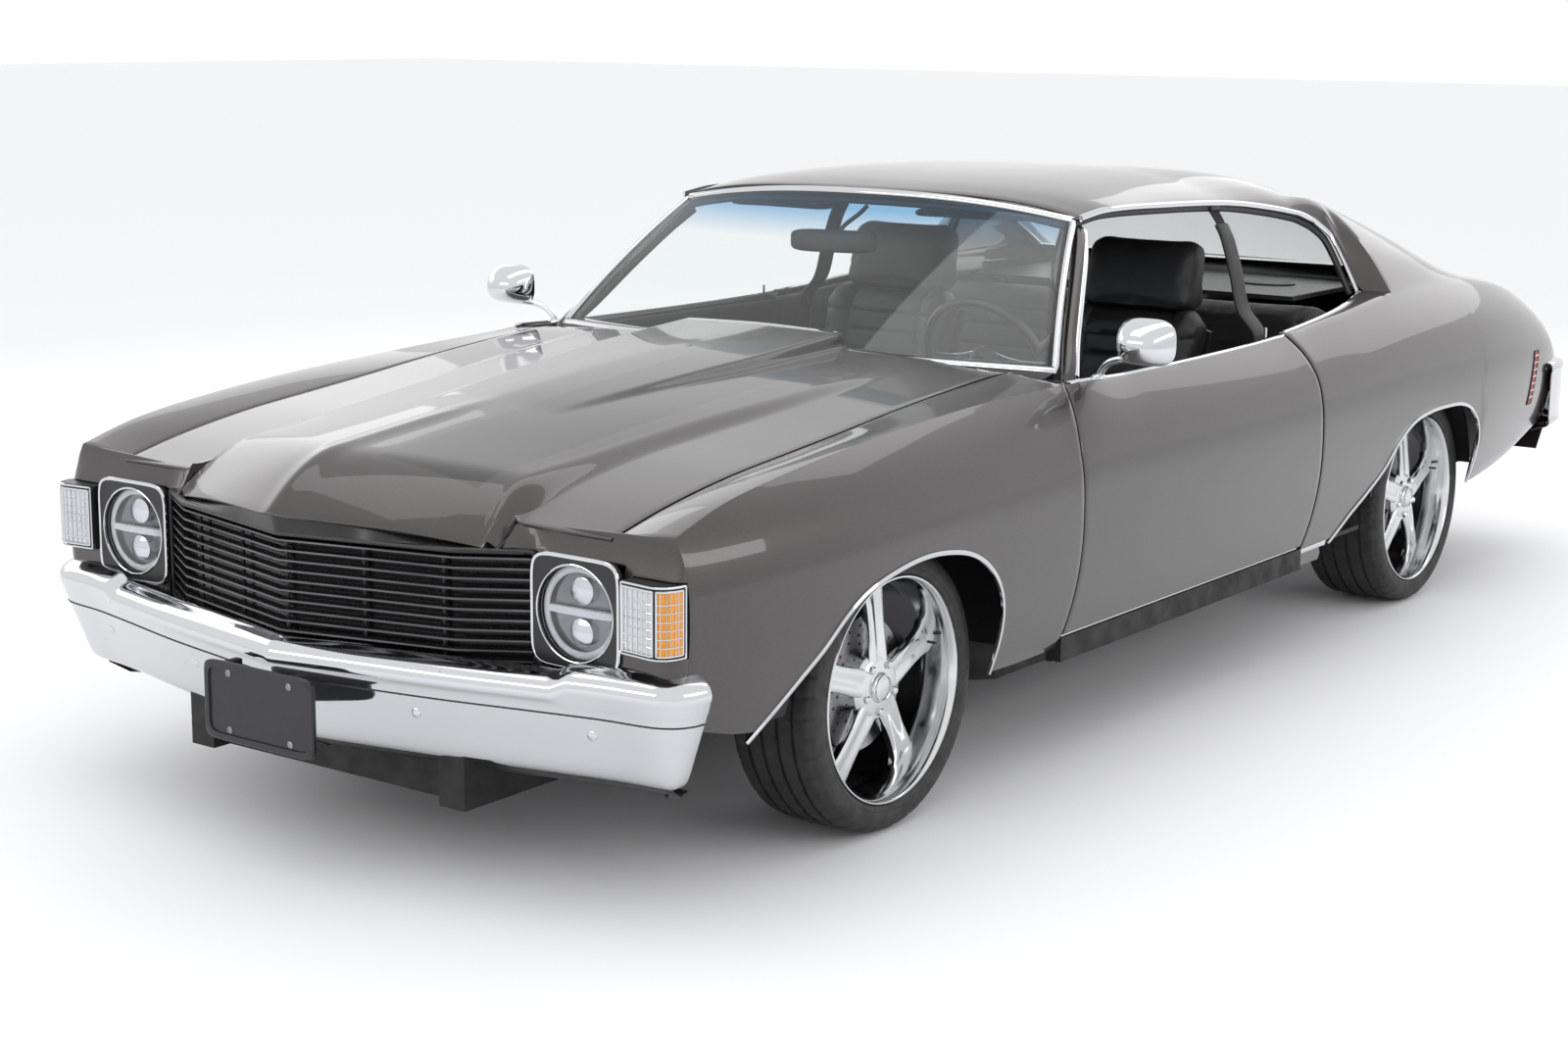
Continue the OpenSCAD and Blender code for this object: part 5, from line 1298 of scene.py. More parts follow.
# ---- wheels ----
def spun(profile, n, radius_fn=None):
    """Closed lathe as (grid, faces); its radius may change with angle, its profile is (radius, along)."""
    prof = np.array(profile, float)
    t = angles(n)
    r = np.broadcast_to(prof[None, :, 0], (n, len(prof))).copy()
    if radius_fn is not None:
        r += radius_fn(np.arange(n)[:, None], prof[None, :, 0], prof[None, :, 1])
    g = np.stack([np.broadcast_to(prof[None, :, 1], r.shape), np.cos(t)[:, None] * r,
                  np.sin(t)[:, None] * r], -1)
    return g, tube_faces(n, len(prof), loop=True)


def tyre_part(w):
    half = [(243, 16), (250.6, 14.5), (252.5, 9), (257, 4.5), (264, 2), (268, 2.6), (271, 1.2), (280, 0.8),
            (290, 2), (298, 5), (304, 9.5), (305.5, 13), (309.5, 17), (312, 23), (313.2, 30)]
    tread = []
    centres = np.array([-0.29, -0.1, 0.1, 0.29]) * (w - 20)
    for c in centres:
        for d, k in ((-5, 0), (-4, 7), (4, 7), (5, 0)):
            a = w / 2 + c + d
            tread.append((TYRE_R - 2.6 * ((a - w / 2) / (w / 2 - 30)) ** 2 - k, a))
    prof = half + tread + [(r, w - a) for r, a in half[::-1]]
    prof = [(r, -a) for r, a in prof]

    def blocks(i, r, a):
        """Cross grooves on both shoulders."""
        outer = (np.abs(-a - w / 2) > 0.36 * w) & (r > 303)
        mid = (np.abs(-a - w / 2) <= 0.36 * w) & (r > 311)
        return -4.5 * (outer & (i % 6 < 1)) - 2.2 * (mid & ((i + 3) % 6 < 1))

    return spun(prof, 252, blocks)


def spoke_part(k):
    """One broad spoke, hollowed to a soft ridge and flared into the rim."""
    r = np.array([38, 60, 84, 112, 145, 180, 206, 222, 232])
    half = np.array([30, 32, 32, 30, 29, 31, 35, 41, 47])
    face = np.array([-45, -45.5, -47, -50, -54, -58, -62, -66, -70])
    deep = np.array([36, 34, 30, 27, 25, 24, 24, 26, 28])
    rings = []
    for a, h, f, d in zip(r, half, face, deep):
        q = squircle(h, d / 2, 5, 32)
        dip = 4.0 * np.exp(-((q[:, 0] / (h * 0.45)) ** 2)) * (q[:, 1] > 0)
        rings.append(np.stack([f - d / 2 + q[:, 1] - dip, q[:, 0], np.full(32, a)], -1))
    turn = math.radians(72 * k)
    g = np.array(rings)
    y, z = g[..., 1].copy(), g[..., 2].copy()
    g[..., 1] = y * math.cos(turn) + z * math.sin(turn)
    g[..., 2] = -y * math.sin(turn) + z * math.cos(turn)
    return g, tube_faces(*g.shape[:2])


def side_rod(profile, y, z, n):
    """A rod pointing sideways from an (x, radius) profile, about a point of the wheel."""
    t = angles(n)
    g = np.array([points(x, y + r * np.cos(t), z + r * np.sin(t)) for x, r in profile])
    return g, tube_faces(len(profile), n)


def wheels():
    spots = (("fl", 1, 0, 226), ("fr", -1, 0, 226), ("rl", 1, WHEELBASE, 246), ("rr", -1, WHEELBASE, 246))
    for key, side, s, w in spots:
        body = "wheel_" + key

        def put(parts):
            out = []
            for g, f in parts:
                p = np.array(g, float).reshape(-1, 3) + np.array([TYRE_OUT, s, WHEEL_Z])
                out.append((on_side(to_row(p), side), f))
            return out

        ob = join("tyre_" + key + "_rubber", put([tyre_part(w)]), "rubber", body, 32)
        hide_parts("tyre_" + key)
        lip = [(249, -6.5), (250.6, -9), (250.4, -13), (243.5, -15.2), (243, -22), (236, -34),
               (236, -w + 34), (242, -w + 20), (242.2, -w + 15), (250, -w + 13), (250, -w + 8),
               (241, -w + 8), (232, -w + 26), (229, -w + 40), (229, -100), (226, -92), (227, -76),
               (234, -50), (239, -24), (243, -10), (246, -6.5)]
        hub = [(0.5, -46), (58, -46), (66, -48), (72, -53), (78, -60), (78, -94), (24, -94), (24, -60),
               (0.5, -60)]
        cap = [(0.5, -33), (14, -33.4), (25, -35.5), (31, -39), (33.5, -44), (34, -52), (0.5, -52)]
        cap_rim = [(27, -33.5), (29.5, -34), (29.5, -38), (27, -38)]
        parts = [spun(lip, 144), spun(hub, 96), spun(cap, 64), spun(cap_rim, 64)]
        parts += [spoke_part(k) for k in range(5)]
        nut = [(-52, 9.5), (-40, 9.5), (-37.5, 7), (-37, 3)]
        for a in np.radians(np.arange(36, 360, 72)):
            parts.append(side_rod(nut, 55 * math.sin(a), 55 * math.cos(a), 6))
        ob = join("rim_" + key, put(parts), "alloy", body, 34)
        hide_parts("wheel_" + key)
        valve = side_rod([(-58, 3.2), (-47, 3.2), (-36, 3.2)], 205, 60, 10)
        join("valve_" + key, put([valve]), "black", body)
        disc = [(60, -94), (148, -94), (150, -96), (150, -101), (140, -101), (140, -106), (150, -106),
                (150, -112), (148, -113), (60, -113)]
        hat = [(24, -95), (70, -95), (74, -99), (74, -112), (24, -112)]
        # Black discs on the disc's face stand for its drilled holes: painted shade inside them.
        holes = []
        for ring, count in ((92, 16), (112, 18), (132, 20)):
            for k in range(count):
                a = 2 * math.pi * k / count + ring
                holes.append(side_rod([(-94.5, 4), (-93.4, 4)], ring * math.cos(a), ring * math.sin(a), 8))
        join("brake_disc_" + key, put([spun(disc, 96), spun(hat, 64)]), "disc", body)
        join("brake_disc_hole_shade_" + key, put(holes), "black", body)


# ---- cabin ----
def helm_to_car(p):
    """A point of the steering wheel's own space, middle at its origin and axis along Z, into the car's."""
    p = np.array(p, float)
    c, s = math.cos(HELM_TILT), math.sin(HELM_TILT)
    return np.stack([HELM[0] + p[..., 0], HELM[1] + p[..., 1] * c + p[..., 2] * s,
                     HELM[2] - p[..., 1] * s + p[..., 2] * c], -1)


def tube_part(path, shape, out, closed=False):
    """Points, in millimetres, and faces of a bar swept along a path."""
    g = sweep(path, shape, out, closed)
    return g, tube_faces(*g.shape[:2], loop=closed)


def car_part(g, faces):
    """A part in row metres from one in millimetres."""
    return to_row(g).reshape(-1, 3), faces


def helm_loft(rows, n, x=0.0, y=0.0):
    """Rings of (radius, height) about a point of the steering wheel's own space."""
    t = angles(n)
    return loft_part([helm_to_car(points(x + r * np.cos(t), y + r * np.sin(t), z)) for r, z in rows])


def steering():
    t = angles(120)
    rim = points(172 * np.cos(t), 172 * np.sin(t), 0)
    g, f = tube_part(rim, oval(11.5, 12.5, 16), points(np.cos(t), np.sin(t), 0), True)
    ob = join("steering_wheel_rim", [car_part(helm_to_car(g), f)], "trim", "steering_wheel")
    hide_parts("steering_wheel")
    spokes = []
    for a in np.radians([0, 90, 180]):
        c, s = math.cos(a), math.sin(a)
        rings = []
        for r, w, z in ((34, 24, 4), (70, 17, -2), (110, 13, -4), (150, 13, -3), (166, 17, 0)):
            q = squircle(w, 3.2, 5, 28)
            rings.append(helm_to_car(points(r * c - q[:, 0] * s, r * s + q[:, 0] * c, z + q[:, 1])))
        spokes.append(loft_part(rings))
    join("steering_wheel_spokes", spokes, "alloy", "steering_wheel")
    holes = []
    for a in np.radians([0, 90, 180]):
        for r in (82, 108, 132):
            holes.append(helm_loft(((7, -8), (7, 2.2), (5, 2.4)), 24, r * math.cos(a), r * math.sin(a)))
    join("steering_wheel_holes", holes, "black", "steering_wheel")
    pad = helm_loft(((34, -33), (40, -24), (42, 0), (39, 8), (26, 12), (8, 13)), 64)
    join("horn_pad", [pad], "vinyl", "steering_wheel")
    shroud = helm_loft(((26, -560), (26, -150), (36, -140), (38, -60), (34, -42), (20, -40)), 64)
    ob = join("column_shroud", [shroud], "trim")
    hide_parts("steering_column")
    stalks = [tube_part(helm_to_car([(k * 30, 0, -70), (k * 90, -6, -66), (k * 150, -10, -58)]),
                        oval(4, 4, 10), (0, 0, 1)) for k in (1, -1)]
    join("column_stalks", [car_part(*q) for q in stalks], "trim")


def dashboard():
    shape = [(572, 760), (700, 706), (872, 648), (950, 650), (974, 672), (986, 716), (990, 740), (990, 800),
             (984, 826), (960, 856), (926, 872), (880, 876), (838, 868), (830, 856), (700, 852), (572, 856)]
    xs = np.concatenate([[-767, -764, -756], np.linspace(-740, 740, 41), [756, 764, 767]])
    centre = np.array([800.0, 765.0])
    rings = []
    for x in xs:
        k = {767: 0.97, 764: 0.985, 756: 0.997}.get(int(abs(round(x))), 1.0)
        q = (np.array(shape) - centre) * k + centre
        rings.append(np.column_stack([np.full(len(q), x), q]))
    ob = join("dashboard_body", [loft_part(rings)], "vinyl")
    bevel(ob, 5, 3, 25)
    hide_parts("dashboard")
    panel = block((140, 985, 700), (600, 997, 812), 10)
    glove = block((-600, 985, 690), (-190, 994, 812), 8)
    middle = block((-150, 985, 690), (120, 996, 812), 8)
    join("dash_panels", [panel, glove, middle], "trim")
    radio = block((-110, 990, 700), (80, 1000, 740), 4)
    vents = [block((x - 45, 990, 765), (x + 45, 999, 800), 4) for x in (-90, 60)]
    join("radio_and_vents", [radio] + vents, "satin")
    slats = [block((x - 40, 997, z - 1), (x + 40, 1001, z + 1), 1) for x in (-90, 60)
             for z in (773, 780, 787, 794)]
    join("vent_slats", slats, "alloy")
    knobs = [disc_part((x, 1008, 720), 9, -14, n=28, dome=-2) for x in (-125, 95)] + [
        disc_part((x, 1008, 716), 7, -12, n=24, dome=-2) for x in (-560, 200, 250)]
    join("dash_knobs", knobs, "chrome")
    gauges, rims, needles = [], [], []
    for x, r in ((230, 42), (340, 42), (450, 42), (540, 30)):
        gauges.append(disc_part((x, 997.5, 762), r, -2, n=56, dome=0))
        rims.append(circle_path((x, 999, 762), r + 2))
        a = math.radians(x)
        tip = np.array([(x, 1000.5, 762), (x + r * 0.8 * math.cos(a), 1000.5, 762 + r * 0.8 * math.sin(a))])
        needles.append(np.linspace(tip[0], tip[1], 4))
    join("gauge_faces", gauges, "gauge")
    solid_sweep("gauge_rims", rims, oval(3, 3, 10), (0, 1, 0), "chrome", closed=True)
    solid_sweep("gauge_needles", needles, oval(0.8, 1.4, 6), (0, 1, 0), "amber")
    pads = [(300, 420), (400, 430)]
    pedals = [block((x - 30, 700, z), (x + 30, 708, z + 50), 4) for x, z in pads]
    pedals.append(block((485, 690, 350), (530, 698, 450), 4))
    levers = [tube_part([(x, 704, z + 40), (x, 680, z + 120), (x, 640, 700)], oval(5, 8, 8), (1, 0, 0))
              for x, z in pads + [(508, 400)]]
    join("pedals", pedals + [car_part(*q) for q in levers], "black")


def read_points(mesh, what="co"):
    """All of a mesh's points, or its normals."""
    v = np.zeros(len(mesh.vertices) * 3)
    mesh.vertices.foreach_get(what, v)
    return v.reshape(-1, 3)


def write_points(mesh, co):
    mesh.vertices.foreach_set("co", co.ravel())
    mesh.update()


def soften(ob, voxel, pressure, cap):
    """Pumps a pad up with cloth, held to a cap, and leaves a plain mesh."""
    m = ob.modifiers.new("remesh", "REMESH")
    m.mode, m.voxel_size, m.adaptivity = "VOXEL", voxel, 0
    bake(ob)
    start = read_points(ob.data)
    c = ob.modifiers.new("cloth", "CLOTH")
    c.settings.use_pressure = True
    c.settings.uniform_pressure_force = pressure
    c.settings.quality = 5
    c.settings.mass = 0.3
    c.settings.tension_stiffness = c.settings.compression_stiffness = 12
    c.settings.effector_weights.gravity = 0
    c.collision_settings.use_collision = False
    c.point_cache.frame_start, c.point_cache.frame_end = 1, 20
    scene = bpy.context.scene
    for k in range(1, 21):
        scene.frame_set(k)
        bpy.context.view_layer.update()
    graph = bpy.context.evaluated_depsgraph_get()
    move = read_points(ob.evaluated_get(graph).data) - start
    size = np.linalg.norm(move, axis=1)
    limit = cap / 1000
    move *= (np.tanh(size / limit) * limit / np.maximum(size, 1e-9))[:, None]
    ob.modifiers.clear()
    write_points(ob.data, start + move)
    scene.frame_set(1)
    finish_mesh(ob, 60)


def mirror_pad(ob, name):
    """The right-hand pad."""
    mesh = ob.data.copy()
    write_points(mesh, on_side(read_points(mesh), -1))
    mesh.flip_normals()
    twin = bpy.data.objects.new(name, mesh)
    bpy.context.collection.objects.link(twin)
    finish_mesh(twin)
    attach(twin, "body")
    return twin


def sew(ob, along, first, pitch, columns, depth, framed):
    """Presses sewn rows and columns into a pad's face.

    The rows run across the car every pitch, along the seat (1) or up its back (2), where they end at the
    first one. On a framed pad they lie between the columns, and the first one crosses the whole pad.
    """
    far, width = 99, 4.5
    co, normal = read_points(ob.data), read_points(ob.data, "normal")
    p = co * 1000 + np.array([0, Y_MID, 0])
    x, v = p[:, 0], p[:, along]
    inside = v < first if along == 2 else np.full(len(v), True)
    if framed:
        inside &= (x > columns[0]) & (x < columns[1])
    lines = [np.where(inside, np.abs((v - first + pitch / 2) % pitch - pitch / 2), far)]
    lines += [np.abs(x - c) for c in columns]
    if framed:
        lines.append(np.abs(v - first))
    face = normal[:, 2] > 0.35 if along == 1 else normal[:, 1] < -0.2
    d = np.where(face, np.min(lines, axis=0), far)
    write_points(ob.data, co - normal * (depth / 1000 * np.exp(-((d / width) ** 2)))[:, None])
    finish_mesh(ob, 60)


def pad_from(name, profile, x0, x1, inset, wing=(0, 0)):
    """A pad lofted across the car from a closed (station, height) profile, narrower towards its sides.

    wing is how far its sides stand out, in (station, height).
    """
    prof = smooth_path(profile + profile[:1], 41)[:-1]
    c = prof.mean(0)
    xs = np.linspace(x0, x1, 15)
    rings = []
    for x in xs:
        u = abs(2 * (x - x0) / (x1 - x0) - 1)
        k = 1 - inset * max(0, (u - 0.72) / 0.28) ** 2.5
        q = (prof - c) * k + c + ease((u - 0.5) / 0.35) * np.array(wing)
        rings.append(np.column_stack([np.full(len(q), x), q]))
    return join(name, [loft_part(rings)], "vinyl")


def seats():
    y, z = 1252.0, 505.0
    cushion = [(8, z - 128), (4, z - 60), (22, z - 22), (70, z - 8), (200, z - 14), (330, z - 22),
               (452, z - 16), (520, z - 6), (540, z - 60), (536, z - 128)]
    back = [(462, z - 10), (500, z + 90), (546, z + 260), (584, z + 396), (600, z + 440), (650, z + 452),
            (700, z + 430), (690, z + 380), (650, z + 280), (612, z + 130), (590, z - 10), (560, z - 60),
            (500, z - 56)]
    head = [(596, z + 446), (612, z + 520), (636, z + 592), (664, z + 626), (700, z + 630), (722, z + 600),
            (716, z + 530), (704, z + 446), (650, z + 430)]
    made = []
    for name, prof, half, wing, fill, cap in (("seat_cushion", cushion, 222, (0, 26), 0.75, 18),
                                              ("seat_back", back, 216, (-28.5, 9), 0.75, 15),
                                              ("seat_head", head, 168, (0, 0), 0.8, 6)):
        prof = [(a + y, b) for a, b in prof]
        ob = pad_from(name + "_left", prof, SEAT_X - half, SEAT_X + half, 0.16, wing)
        soften(ob, 0.008, 4.0, cap)
        made.append((name, ob, fill))
    sew(made[0][1], 1, 1330, 58, (SEAT_X - 128, SEAT_X + 128), 7, framed=True)
    sew(made[1][1], 2, 880, 58, (SEAT_X - 122, SEAT_X + 122), 7, framed=True)
    for name, ob, fill in made:
        twin = mirror_pad(ob, name + "_right")
        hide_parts("seat_left")
        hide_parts("seat_right")
    shell_back = [(596, z - 40), (622, z + 130), (660, z + 280), (702, z + 400), (712, z + 400),
                  (668, z + 270), (632, z + 120), (606, z - 50)]
    rings = []
    for x in np.linspace(-196, 196, 13):
        bow = (abs(x) / 196) ** 4
        rings.append([(SEAT_X + x, y + a - 4 * bow, z + (b - z) * (1 - 0.05 * bow)) for a, b in shell_back])
    base = block((SEAT_X - 196, y + 44, 362), (SEAT_X + 196, y + 540, 384), 10)
    rails = [block((x - 14, y + 60, 304.5), (x + 14, y + 500, 322), 4) for x in (SEAT_X + 150, SEAT_X - 150)]
    legs = [block((x - 10, y + a, 318), (x + 10, y + a + 46, 366), 4)
            for x in (SEAT_X + 150, SEAT_X - 150) for a in (90, 420)]
    join("seat_frames", two([loft_part(rings), base] + rails + legs), "black")
    arm = [block((SEAT_X + 214, y + 500, 470), (SEAT_X + 226, y + 600, 560), 6)]
    join("seat_hinge_covers", two(arm), "satin")


def bench():
    y = 2398.0
    cushion = [(-404, 450), (-408, 470), (-380, 486), (-300, 490), (-180, 482), (-80, 474), (-60, 455),
               (-80, 447), (-300, 446)]
    back = [(-82, 486), (-60, 560), (-20, 700), (18, 840), (40, 900), (66, 922), (110, 922), (128, 900),
            (96, 760), (50, 600), (14, 500), (-20, 486)]
    for name, prof, along, first in (("bench_cushion", cushion, 1, 2100), ("bench_back", back, 2, 850)):
        ob = pad_from(name + "_left", [(a + y, b) for a, b in prof], 6, 722, 0.1)
        soften(ob, 0.009, 3.0, 14)
        sew(ob, along, first, 60, (130, 640), 6, framed=False)
        twin = mirror_pad(ob, name + "_right")
        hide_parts("rear_seat")
        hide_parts("rear_seat")
    join("bench_skirt", two([block((156, y - 400, 306), (722, y - 340, 450), 8)]), "vinyl")


def trims_and_carpet():
    s = column(576, 1986, 60)
    x = np.concatenate([np.linspace(832, 180, 20), [166, 156, 151], [150, 149]])
    z = np.concatenate([np.full(20, 306.5), [308, 316, 330], [400, 446]])
    x = np.concatenate([x, np.linspace(140, 0, 6)])
    z = np.concatenate([z, 449 + 3 * np.sin(np.linspace(0.2, 1.5, 6))])
    x, z = np.concatenate([x, -x[-2::-1]]), np.concatenate([z, z[-2::-1]])
    wave = 1.2 * np.sin(s / 37) * np.sin(x[None, :] / 53)
    shell("floor_carpet", [points(x[None, :], s, z[None, :] + wave)], "carpet",
          thick=2, edge=0)
    tunnel = block((-70, 1180, 446), (70, 1760, 520), 14)
    console_top = block((-58, 1200, 516), (58, 1500, 526), 8)
    boot = [ring_at(squircle(r, r * 0.8, 3), 0, 0, 0)[:, [0, 2, 1]] + np.array([0, 1300, h]) for r, h in (
        (34, 524), (26, 545), (14, 570), (8, 590))]
    lever = tube_part([(0, 1300, 580), (0, 1310, 640), (0, 1322, 690)], oval(5, 5, 12), (1, 0, 0))
    knob = [ring_at(squircle(r, r, 2), 0, 0, 0)[:, [0, 2, 1]] + np.array([0, 1324, h]) for r, h in (
        (7, 684), (17, 696), (21, 710), (17, 724), (5, 731))]
    join("console", [tunnel, console_top], "trim")
    join("shift_boot", [loft_part(boot)], "vinyl")
    join("shift_lever", [car_part(*lever), loft_part(knob)], "chrome")
    for side, name in ((1, "left"), (-1, "right")):
        s = column(1944, 2392, 30)
        t = row(0, 1, 26)
        low = np.maximum(326, WHEEL_Z + np.sqrt(np.maximum(0, 392**2 - (s - WHEELBASE) ** 2))
                         * (np.abs(s - WHEELBASE) < 392))
        z = mix(low, 880, t)
        puff = 6 * np.sin(math.pi * t) ** 0.4 + 3 * np.cos(s / 24) ** 8
        card = points(808 - puff, s, z)
        ob = shell("quarter_card_" + name, [card[:, ::-1]], "vinyl", thick=5, edge=1.5, sides=side)
        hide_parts("side_trim")
    shelf_s = column(2549, 3184, 30)
    xs = row(556, -556, 41)
    rise = 30 * ease((shelf_s - 3110) / 74)
    ob = shell("shelf_cover", [points(xs, shelf_s, 931 + rise)], "trim", thick=1.5,
               edge=0)
    cone = ((92, 931), (92, 935), (84, 937), (70, 936), (20, 938))
    speakers = [loft_part(stacked_circles(x, 2850, cone, 64, 0.7)) for x in (330, -330)]
    join("shelf_speakers", speakers, "black")


def belts_and_mirror():
    upper = [(601, 1922, 1230), (628, 1923, 1190), (652, 1922, 1146), (680, 1922, 1060), (708, 1922, 958),
             (752, 1923, 905), (767, 1922, 858), (768, 1922, 740), (768, 1922, 620), (776, 1922, 480),
             (788, 1922, 334)]
    path = smooth_path(upper, 90)
    strap = solid_sweep("seat_belt_straps", [path], [(-1.3, -24), (1.3, -24), (1.6, 0), (1.3, 24), (-1.3, 24),
                        (-1.6, 0)], (-1, 0, 0.3), "webbing", sides=0)
    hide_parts("seat_belts")
    cover = path[(path[:, 2] < 1190) & (path[:, 2] > 850)]
    solid_sweep("seat_belt_sleeves", [cover], squircle(7, 36, 3, 20), (-1, 0, 0.3), "vinyl", sides=0)
    loops = [block((590, 1896, 1222), (612, 1950, 1246), 5), block((762, 1898, 602), (777, 1948, 650), 4)]
    join("seat_belt_guides", two(loops), "trim")
    tongues = [block((764, 1904, 556), (773, 1942, 604), 3)]
    join("seat_belt_tongues", two(tongues), "steel")
    centre = np.array([-95.0, 1112.0, 1150.0])
    a = math.radians(14)
    q = squircle(122, 30, 5)

    def face(k, d):
        """The mirror's outline at a scale, moved back and turned to the driver."""
        x = q[:, 0] * k
        return points(x * math.cos(a) - d * math.sin(a), x * math.sin(a) + d * math.cos(a),
                      q[:, 1] * k) + centre

    rings = [face(k, d) for k, d in ((0.8, -10), (0.97, -6), (1, 2), (1, 9), (0.96, 10), (0.95, 8))]
    stalk = tube_part(smooth_path([(-92, 1116, 1160), (-70, 1128, 1192), (-30, 1142, 1226),
                                   (-10, 1146, 1246)], 20), oval(6, 6, 12), (0, 1, 0))
    ob = join("cabin_mirror", [loft_part(rings), car_part(*stalk)], "trim")
    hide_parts("inside_mirror")
    join("cabin_mirror_glass", [loft_part([face(0.95, 9.0), face(0.95, 10.2)])], "mirror")
    visors = []
    for k in (1, -1):
        rings = []
        for z, e in ((-6, 3), (-3, 0), (3, 0), (6, 3)):
            b = squircle(165 - e, 62 - e, 5)
            rings.append(points(k * 300 + b[:, 0], 1190 + b[:, 1],
                                1243 + z - 0.02 * np.abs(b[:, 0]) + 0.1 * b[:, 1]))
        visors.append(loft_part(rings))
    join("sun_visors", visors, "vinyl")


# ---- cowl ----
def cowl_panel():
    f = row(1, -1, 61)
    v = column(0, 1, 16)
    f0, v0 = np.broadcast_arrays(f, v)
    b = shield_at(f0, 0.0) - np.array([0, 6, 3])
    a = points(HOOD_HALF * f0, HOOD_REAR + 2, 877)
    g = mix(a, b, v0[..., None])
    g[..., 2] = mix(a[..., 2], b[..., 2], v0**2.2)
    ob = shell("cowl_vent_panel", [g], "satin", thick=3, edge=0)
    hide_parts("cowl")
    slots = []
    for x in np.arange(-560, 561, 20.0):
        a = g[8, int(np.argmin(np.abs(g[8, :, 0] - x)))]
        slots.append(block((x - 6, a[1] - 14, a[2] - 0.5), (x + 6, a[1] + 14, a[2] + 2.5), 1.5, 16))
    join("cowl_slots", slots, "black")


# ---- engine bay ----
def engine_bay():
    rings = []
    for s in np.linspace(-322, 286, 5):
        rings.append([(x, s, z) for x, z in ((-150, 262), (150, 262), (176, 330), (176, 470), (232, 560),
                (232, 640), (120, 760), (-120, 760), (-232, 640), (-232, 560), (-176, 470), (-176, 330))])
    ob = join("engine_block", [loft_part(rings)], "iron")
    bevel(ob, 10, 2, 25)
    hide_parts("engine")
    covers = []
    for side in (1, -1):
        rings = []
        for s, k in ((-290, 0.86), (-282, 1), (250, 1), (258, 0.86)):
            q = squircle(58 * k, 26 * k, 4, 32)
            a = math.radians(40) * side
            rings.append([(side * 184 + b[0] * math.cos(a) + b[1] * math.sin(a), s,
                           702 - b[0] * math.sin(a) + b[1] * math.cos(a)) for b in q])
        covers.append(loft_part(rings))
    join("rocker_covers", covers, "alloy")
    cleaner = ((60, 746), (130, 752), (150, 758), (152, 770), (152, 800), (148, 806), (60, 812), (20, 814))
    join("air_cleaner", [loft_part(stacked_circles(0, -20, cleaner, 72))], "satin")
    stud = stacked_circles(0, -20, ((9, 810), (9, 820), (4, 822)), 18)
    join("air_cleaner_nut", [loft_part(stud)], "chrome")
    core = block((-310, -640, 330), (310, -598, 700), 6)
    tanks = [block((-318, -646, z), (318, -592, z + 34), 8) for z in (700, 318)]
    ob = join("radiator_body", [core] + tanks, "satin")
    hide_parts("radiator")
    fins = [block((-300, -644, z), (300, -640, z + 3), 1, 12) for z in np.arange(356, 696, 11.0)]
    join("radiator_fins", fins, "steel")
    blades = []
    for k in range(6):
        a = math.radians(60 * k)
        rings = []
        for r, w in ((40, 22), (100, 34), (190, 44)):
            c = np.array([r * math.cos(a), r * math.sin(a)])
            n = np.array([-math.sin(a), math.cos(a)])
            rings.append([(c[0] + n[0] * p, -366 + 0.35 * p + q, 520 + c[1] + n[1] * p) for p, q in (
                (-w, -1.5), (w, -1.5), (w, 1.5), (-w, 1.5))])
        blades.append(loft_part(rings))
    join("fan_blades", blades + [disc_part((0, -384, 520), 46, 52, n=48, dome=4)], "satin")
    pulleys = [disc_part((x, -352, z), r, 26, n=56, dome=0) for x, z,
               r in ((0, 340, 78), (-150, 600, 44), (160, 590, 48))]
    join("pulleys", pulleys, "steel")
    hoses = [smooth_path([(140, -600, 690), (120, -540, 700), (60, -440, 690), (20, -330, 690)], 24),
             smooth_path([(-200, -600, 370), (-180, -520, 360), (-120, -420, 400), (-60, -330, 430)], 24)]
    solid_sweep("radiator_hoses", hoses, oval(19, 19, 18), (0, 0, 1), "black")
    battery = block((440, -560, 560), (620, -390, 730), 8)
    join("battery_box", [battery], "black")


def liners():
    """Inner aprons beside the nose and the trunk's side boards."""
    u, v = column(0, 1, 16), row(0, 1, 12)
    s = mix(-735, -395, u) + 0 * v
    z = mix(345, curve(CREST_Z, s) - 62, v)
    shell("nose_aprons", [points(side_x(s, z) - 46, s, z)], "frame", thick=3, edge=0, sides=0)
    s = mix(-636, 428, u) + 0 * v
    shell("fender_liners", [points(mix(side_x(s, 723.0) - 30, 703, v), s, 723)], "frame", thick=3, edge=0,
          sides=0)
    join("radiator_side_boards", two([block((322, -626, 300), (560, -616, 716), 4)]), "frame")
    s = mix(3140, 3935, u) + 0 * v
    z = mix(352, curve(CREST_Z, s) - 50, v)
    shell("trunk_side_boards", [points(np.minimum(side_x(s, z) - 60, 790), s, z)], "carpet", thick=3, edge=0,
          sides=0)


# ---- finishes of the frame's own nodes ----
NODE_FINISH = {"drivetrain": "iron", "rear_axle": "iron", "knuckle_left": "iron", "knuckle_right": "iron",
               "exhaust": "steel", "fuel_tank": "steel", "parcel_shelf": "carpet"}


def finish_nodes():
    """Chassis black, unless a node has a finish of its own."""
    for name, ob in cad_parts.items():
        if ob.hide_render:
            continue
        finish = MAT[NODE_FINISH.get(name, "frame")]
        if not ob.material_slots:
            ob.data.materials.append(finish)
        for slot in ob.material_slots:
            slot.material = finish


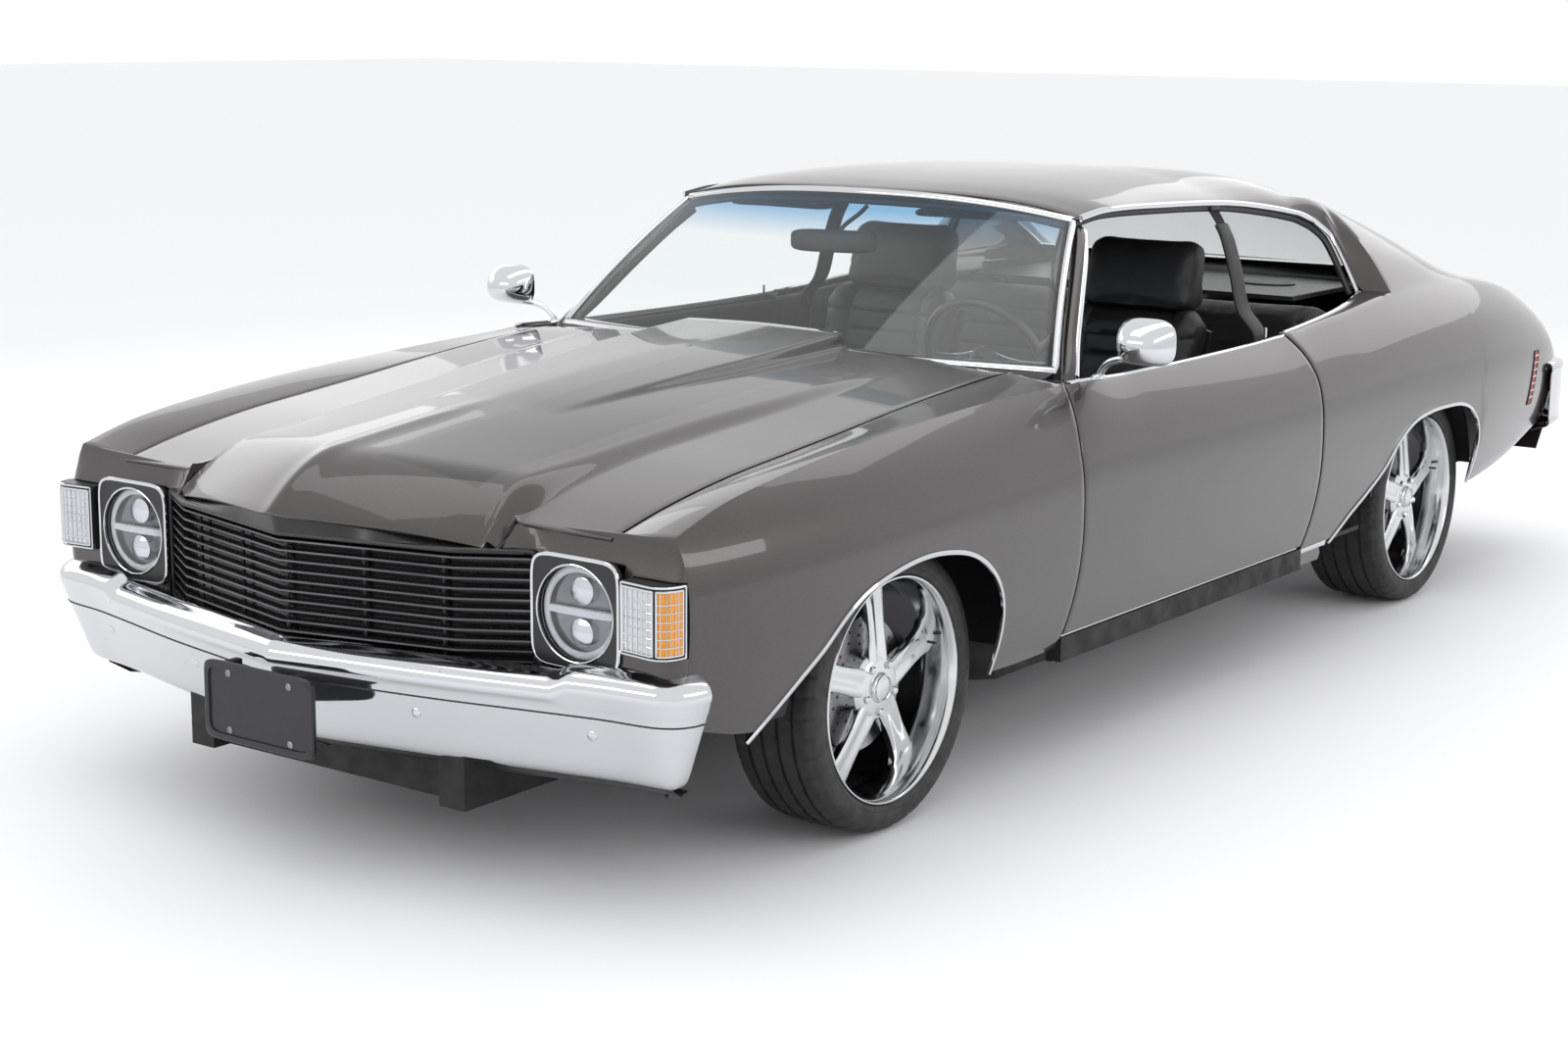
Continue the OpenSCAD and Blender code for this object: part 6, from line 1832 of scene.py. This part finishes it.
# ---- floor, light and background ----
def studio():
    mesh = bpy.data.meshes.new("studio_floor")
    mesh.from_pydata([(-60, -60, 0), (60, -60, 0), (60, 60, 0), (-60, 60, 0)], [], [[0, 1, 2, 3]])
    mesh.materials.append(material("floor_paint", (0.87, 0.87, 0.88), 0.7))
    ob = bpy.data.objects.new("studio_floor", mesh)
    ob.location.z = -0.0005
    bpy.context.collection.objects.link(ob)
    for name, spot, size, power, aim in (
            ("light_top", (0.2, 0.4, 5.4), (2.2, 9.0), 70, (0, 0, 0)),
            ("light_left", (6.2, -0.6, 2.9), (7.0, 1.3), 75, (0, 0, 0.6)),
            ("light_front", (-1.6, -7.4, 3.4), (6.0, 1.2), 60, (0, -1, 0.6)),
            ("light_right", (-6.0, 0.4, 3.2), (7.0, 2.6), 34, (0, 0, 0.6)),
            ("light_rear", (0.5, 7.0, 3.4), (6.0, 2.4), 34, (0, 1, 0.6))):
        data = bpy.data.lights.new(name, "AREA")
        data.shape, data.size, data.size_y, data.energy = "RECTANGLE", *size, power
        light = bpy.data.objects.new(name, data)
        light.location = spot
        light.rotation_euler = (Vector(aim) - Vector(spot)).to_track_quat("-Z", "Y").to_euler()
        bpy.context.collection.objects.link(light)
        light.visible_camera = False
    world = bpy.context.scene.world or bpy.data.worlds.new("world")
    bpy.context.scene.world = world
    world.use_nodes = True
    tree = world.node_tree
    tree.nodes.clear()
    out = tree.nodes.new("ShaderNodeOutputWorld")
    plain, white = tree.nodes.new("ShaderNodeBackground"), tree.nodes.new("ShaderNodeBackground")
    plain.inputs[0].default_value, plain.inputs[1].default_value = (0.98, 0.99, 1.0, 1), 1.05
    white.inputs[0].default_value, white.inputs[1].default_value = (1, 1, 1, 1), 1.0
    pick, rays, peak, top = (tree.nodes.new("ShaderNodeMixShader"), tree.nodes.new("ShaderNodeLightPath"),
                             tree.nodes.new("ShaderNodeMath"), tree.nodes.new("ShaderNodeMath"))
    peak.operation = top.operation = "MAXIMUM"
    tree.links.new(rays.outputs["Is Camera Ray"], peak.inputs[0])
    tree.links.new(rays.outputs["Is Transmission Ray"], peak.inputs[1])
    tree.links.new(peak.outputs[0], top.inputs[0])
    tree.links.new(rays.outputs["Is Glossy Ray"], top.inputs[1])
    tree.links.new(top.outputs[0], pick.inputs[0])
    tree.links.new(plain.outputs[0], pick.inputs[1])
    tree.links.new(white.outputs[0], pick.inputs[2])
    tree.links.new(pick.outputs[0], out.inputs["Surface"])
    bpy.context.scene.view_settings.view_transform = "Standard"


# ---- build ----
for step in (fenders, doors, upper_body, glass, glass_trim, pillars, drip_rails, belt_trims, arch_trims, hood,
             trunk_and_deck, tail, nose_panels, headlights, corner_lamps, grille, front_bumper, plate_bracket,
             rear_bumper, side_markers, door_furniture, cowl_panel, wheels, steering, dashboard, seats, bench,
             trims_and_carpet, belts_and_mirror, engine_bay, liners, finish_nodes, studio):
    step()
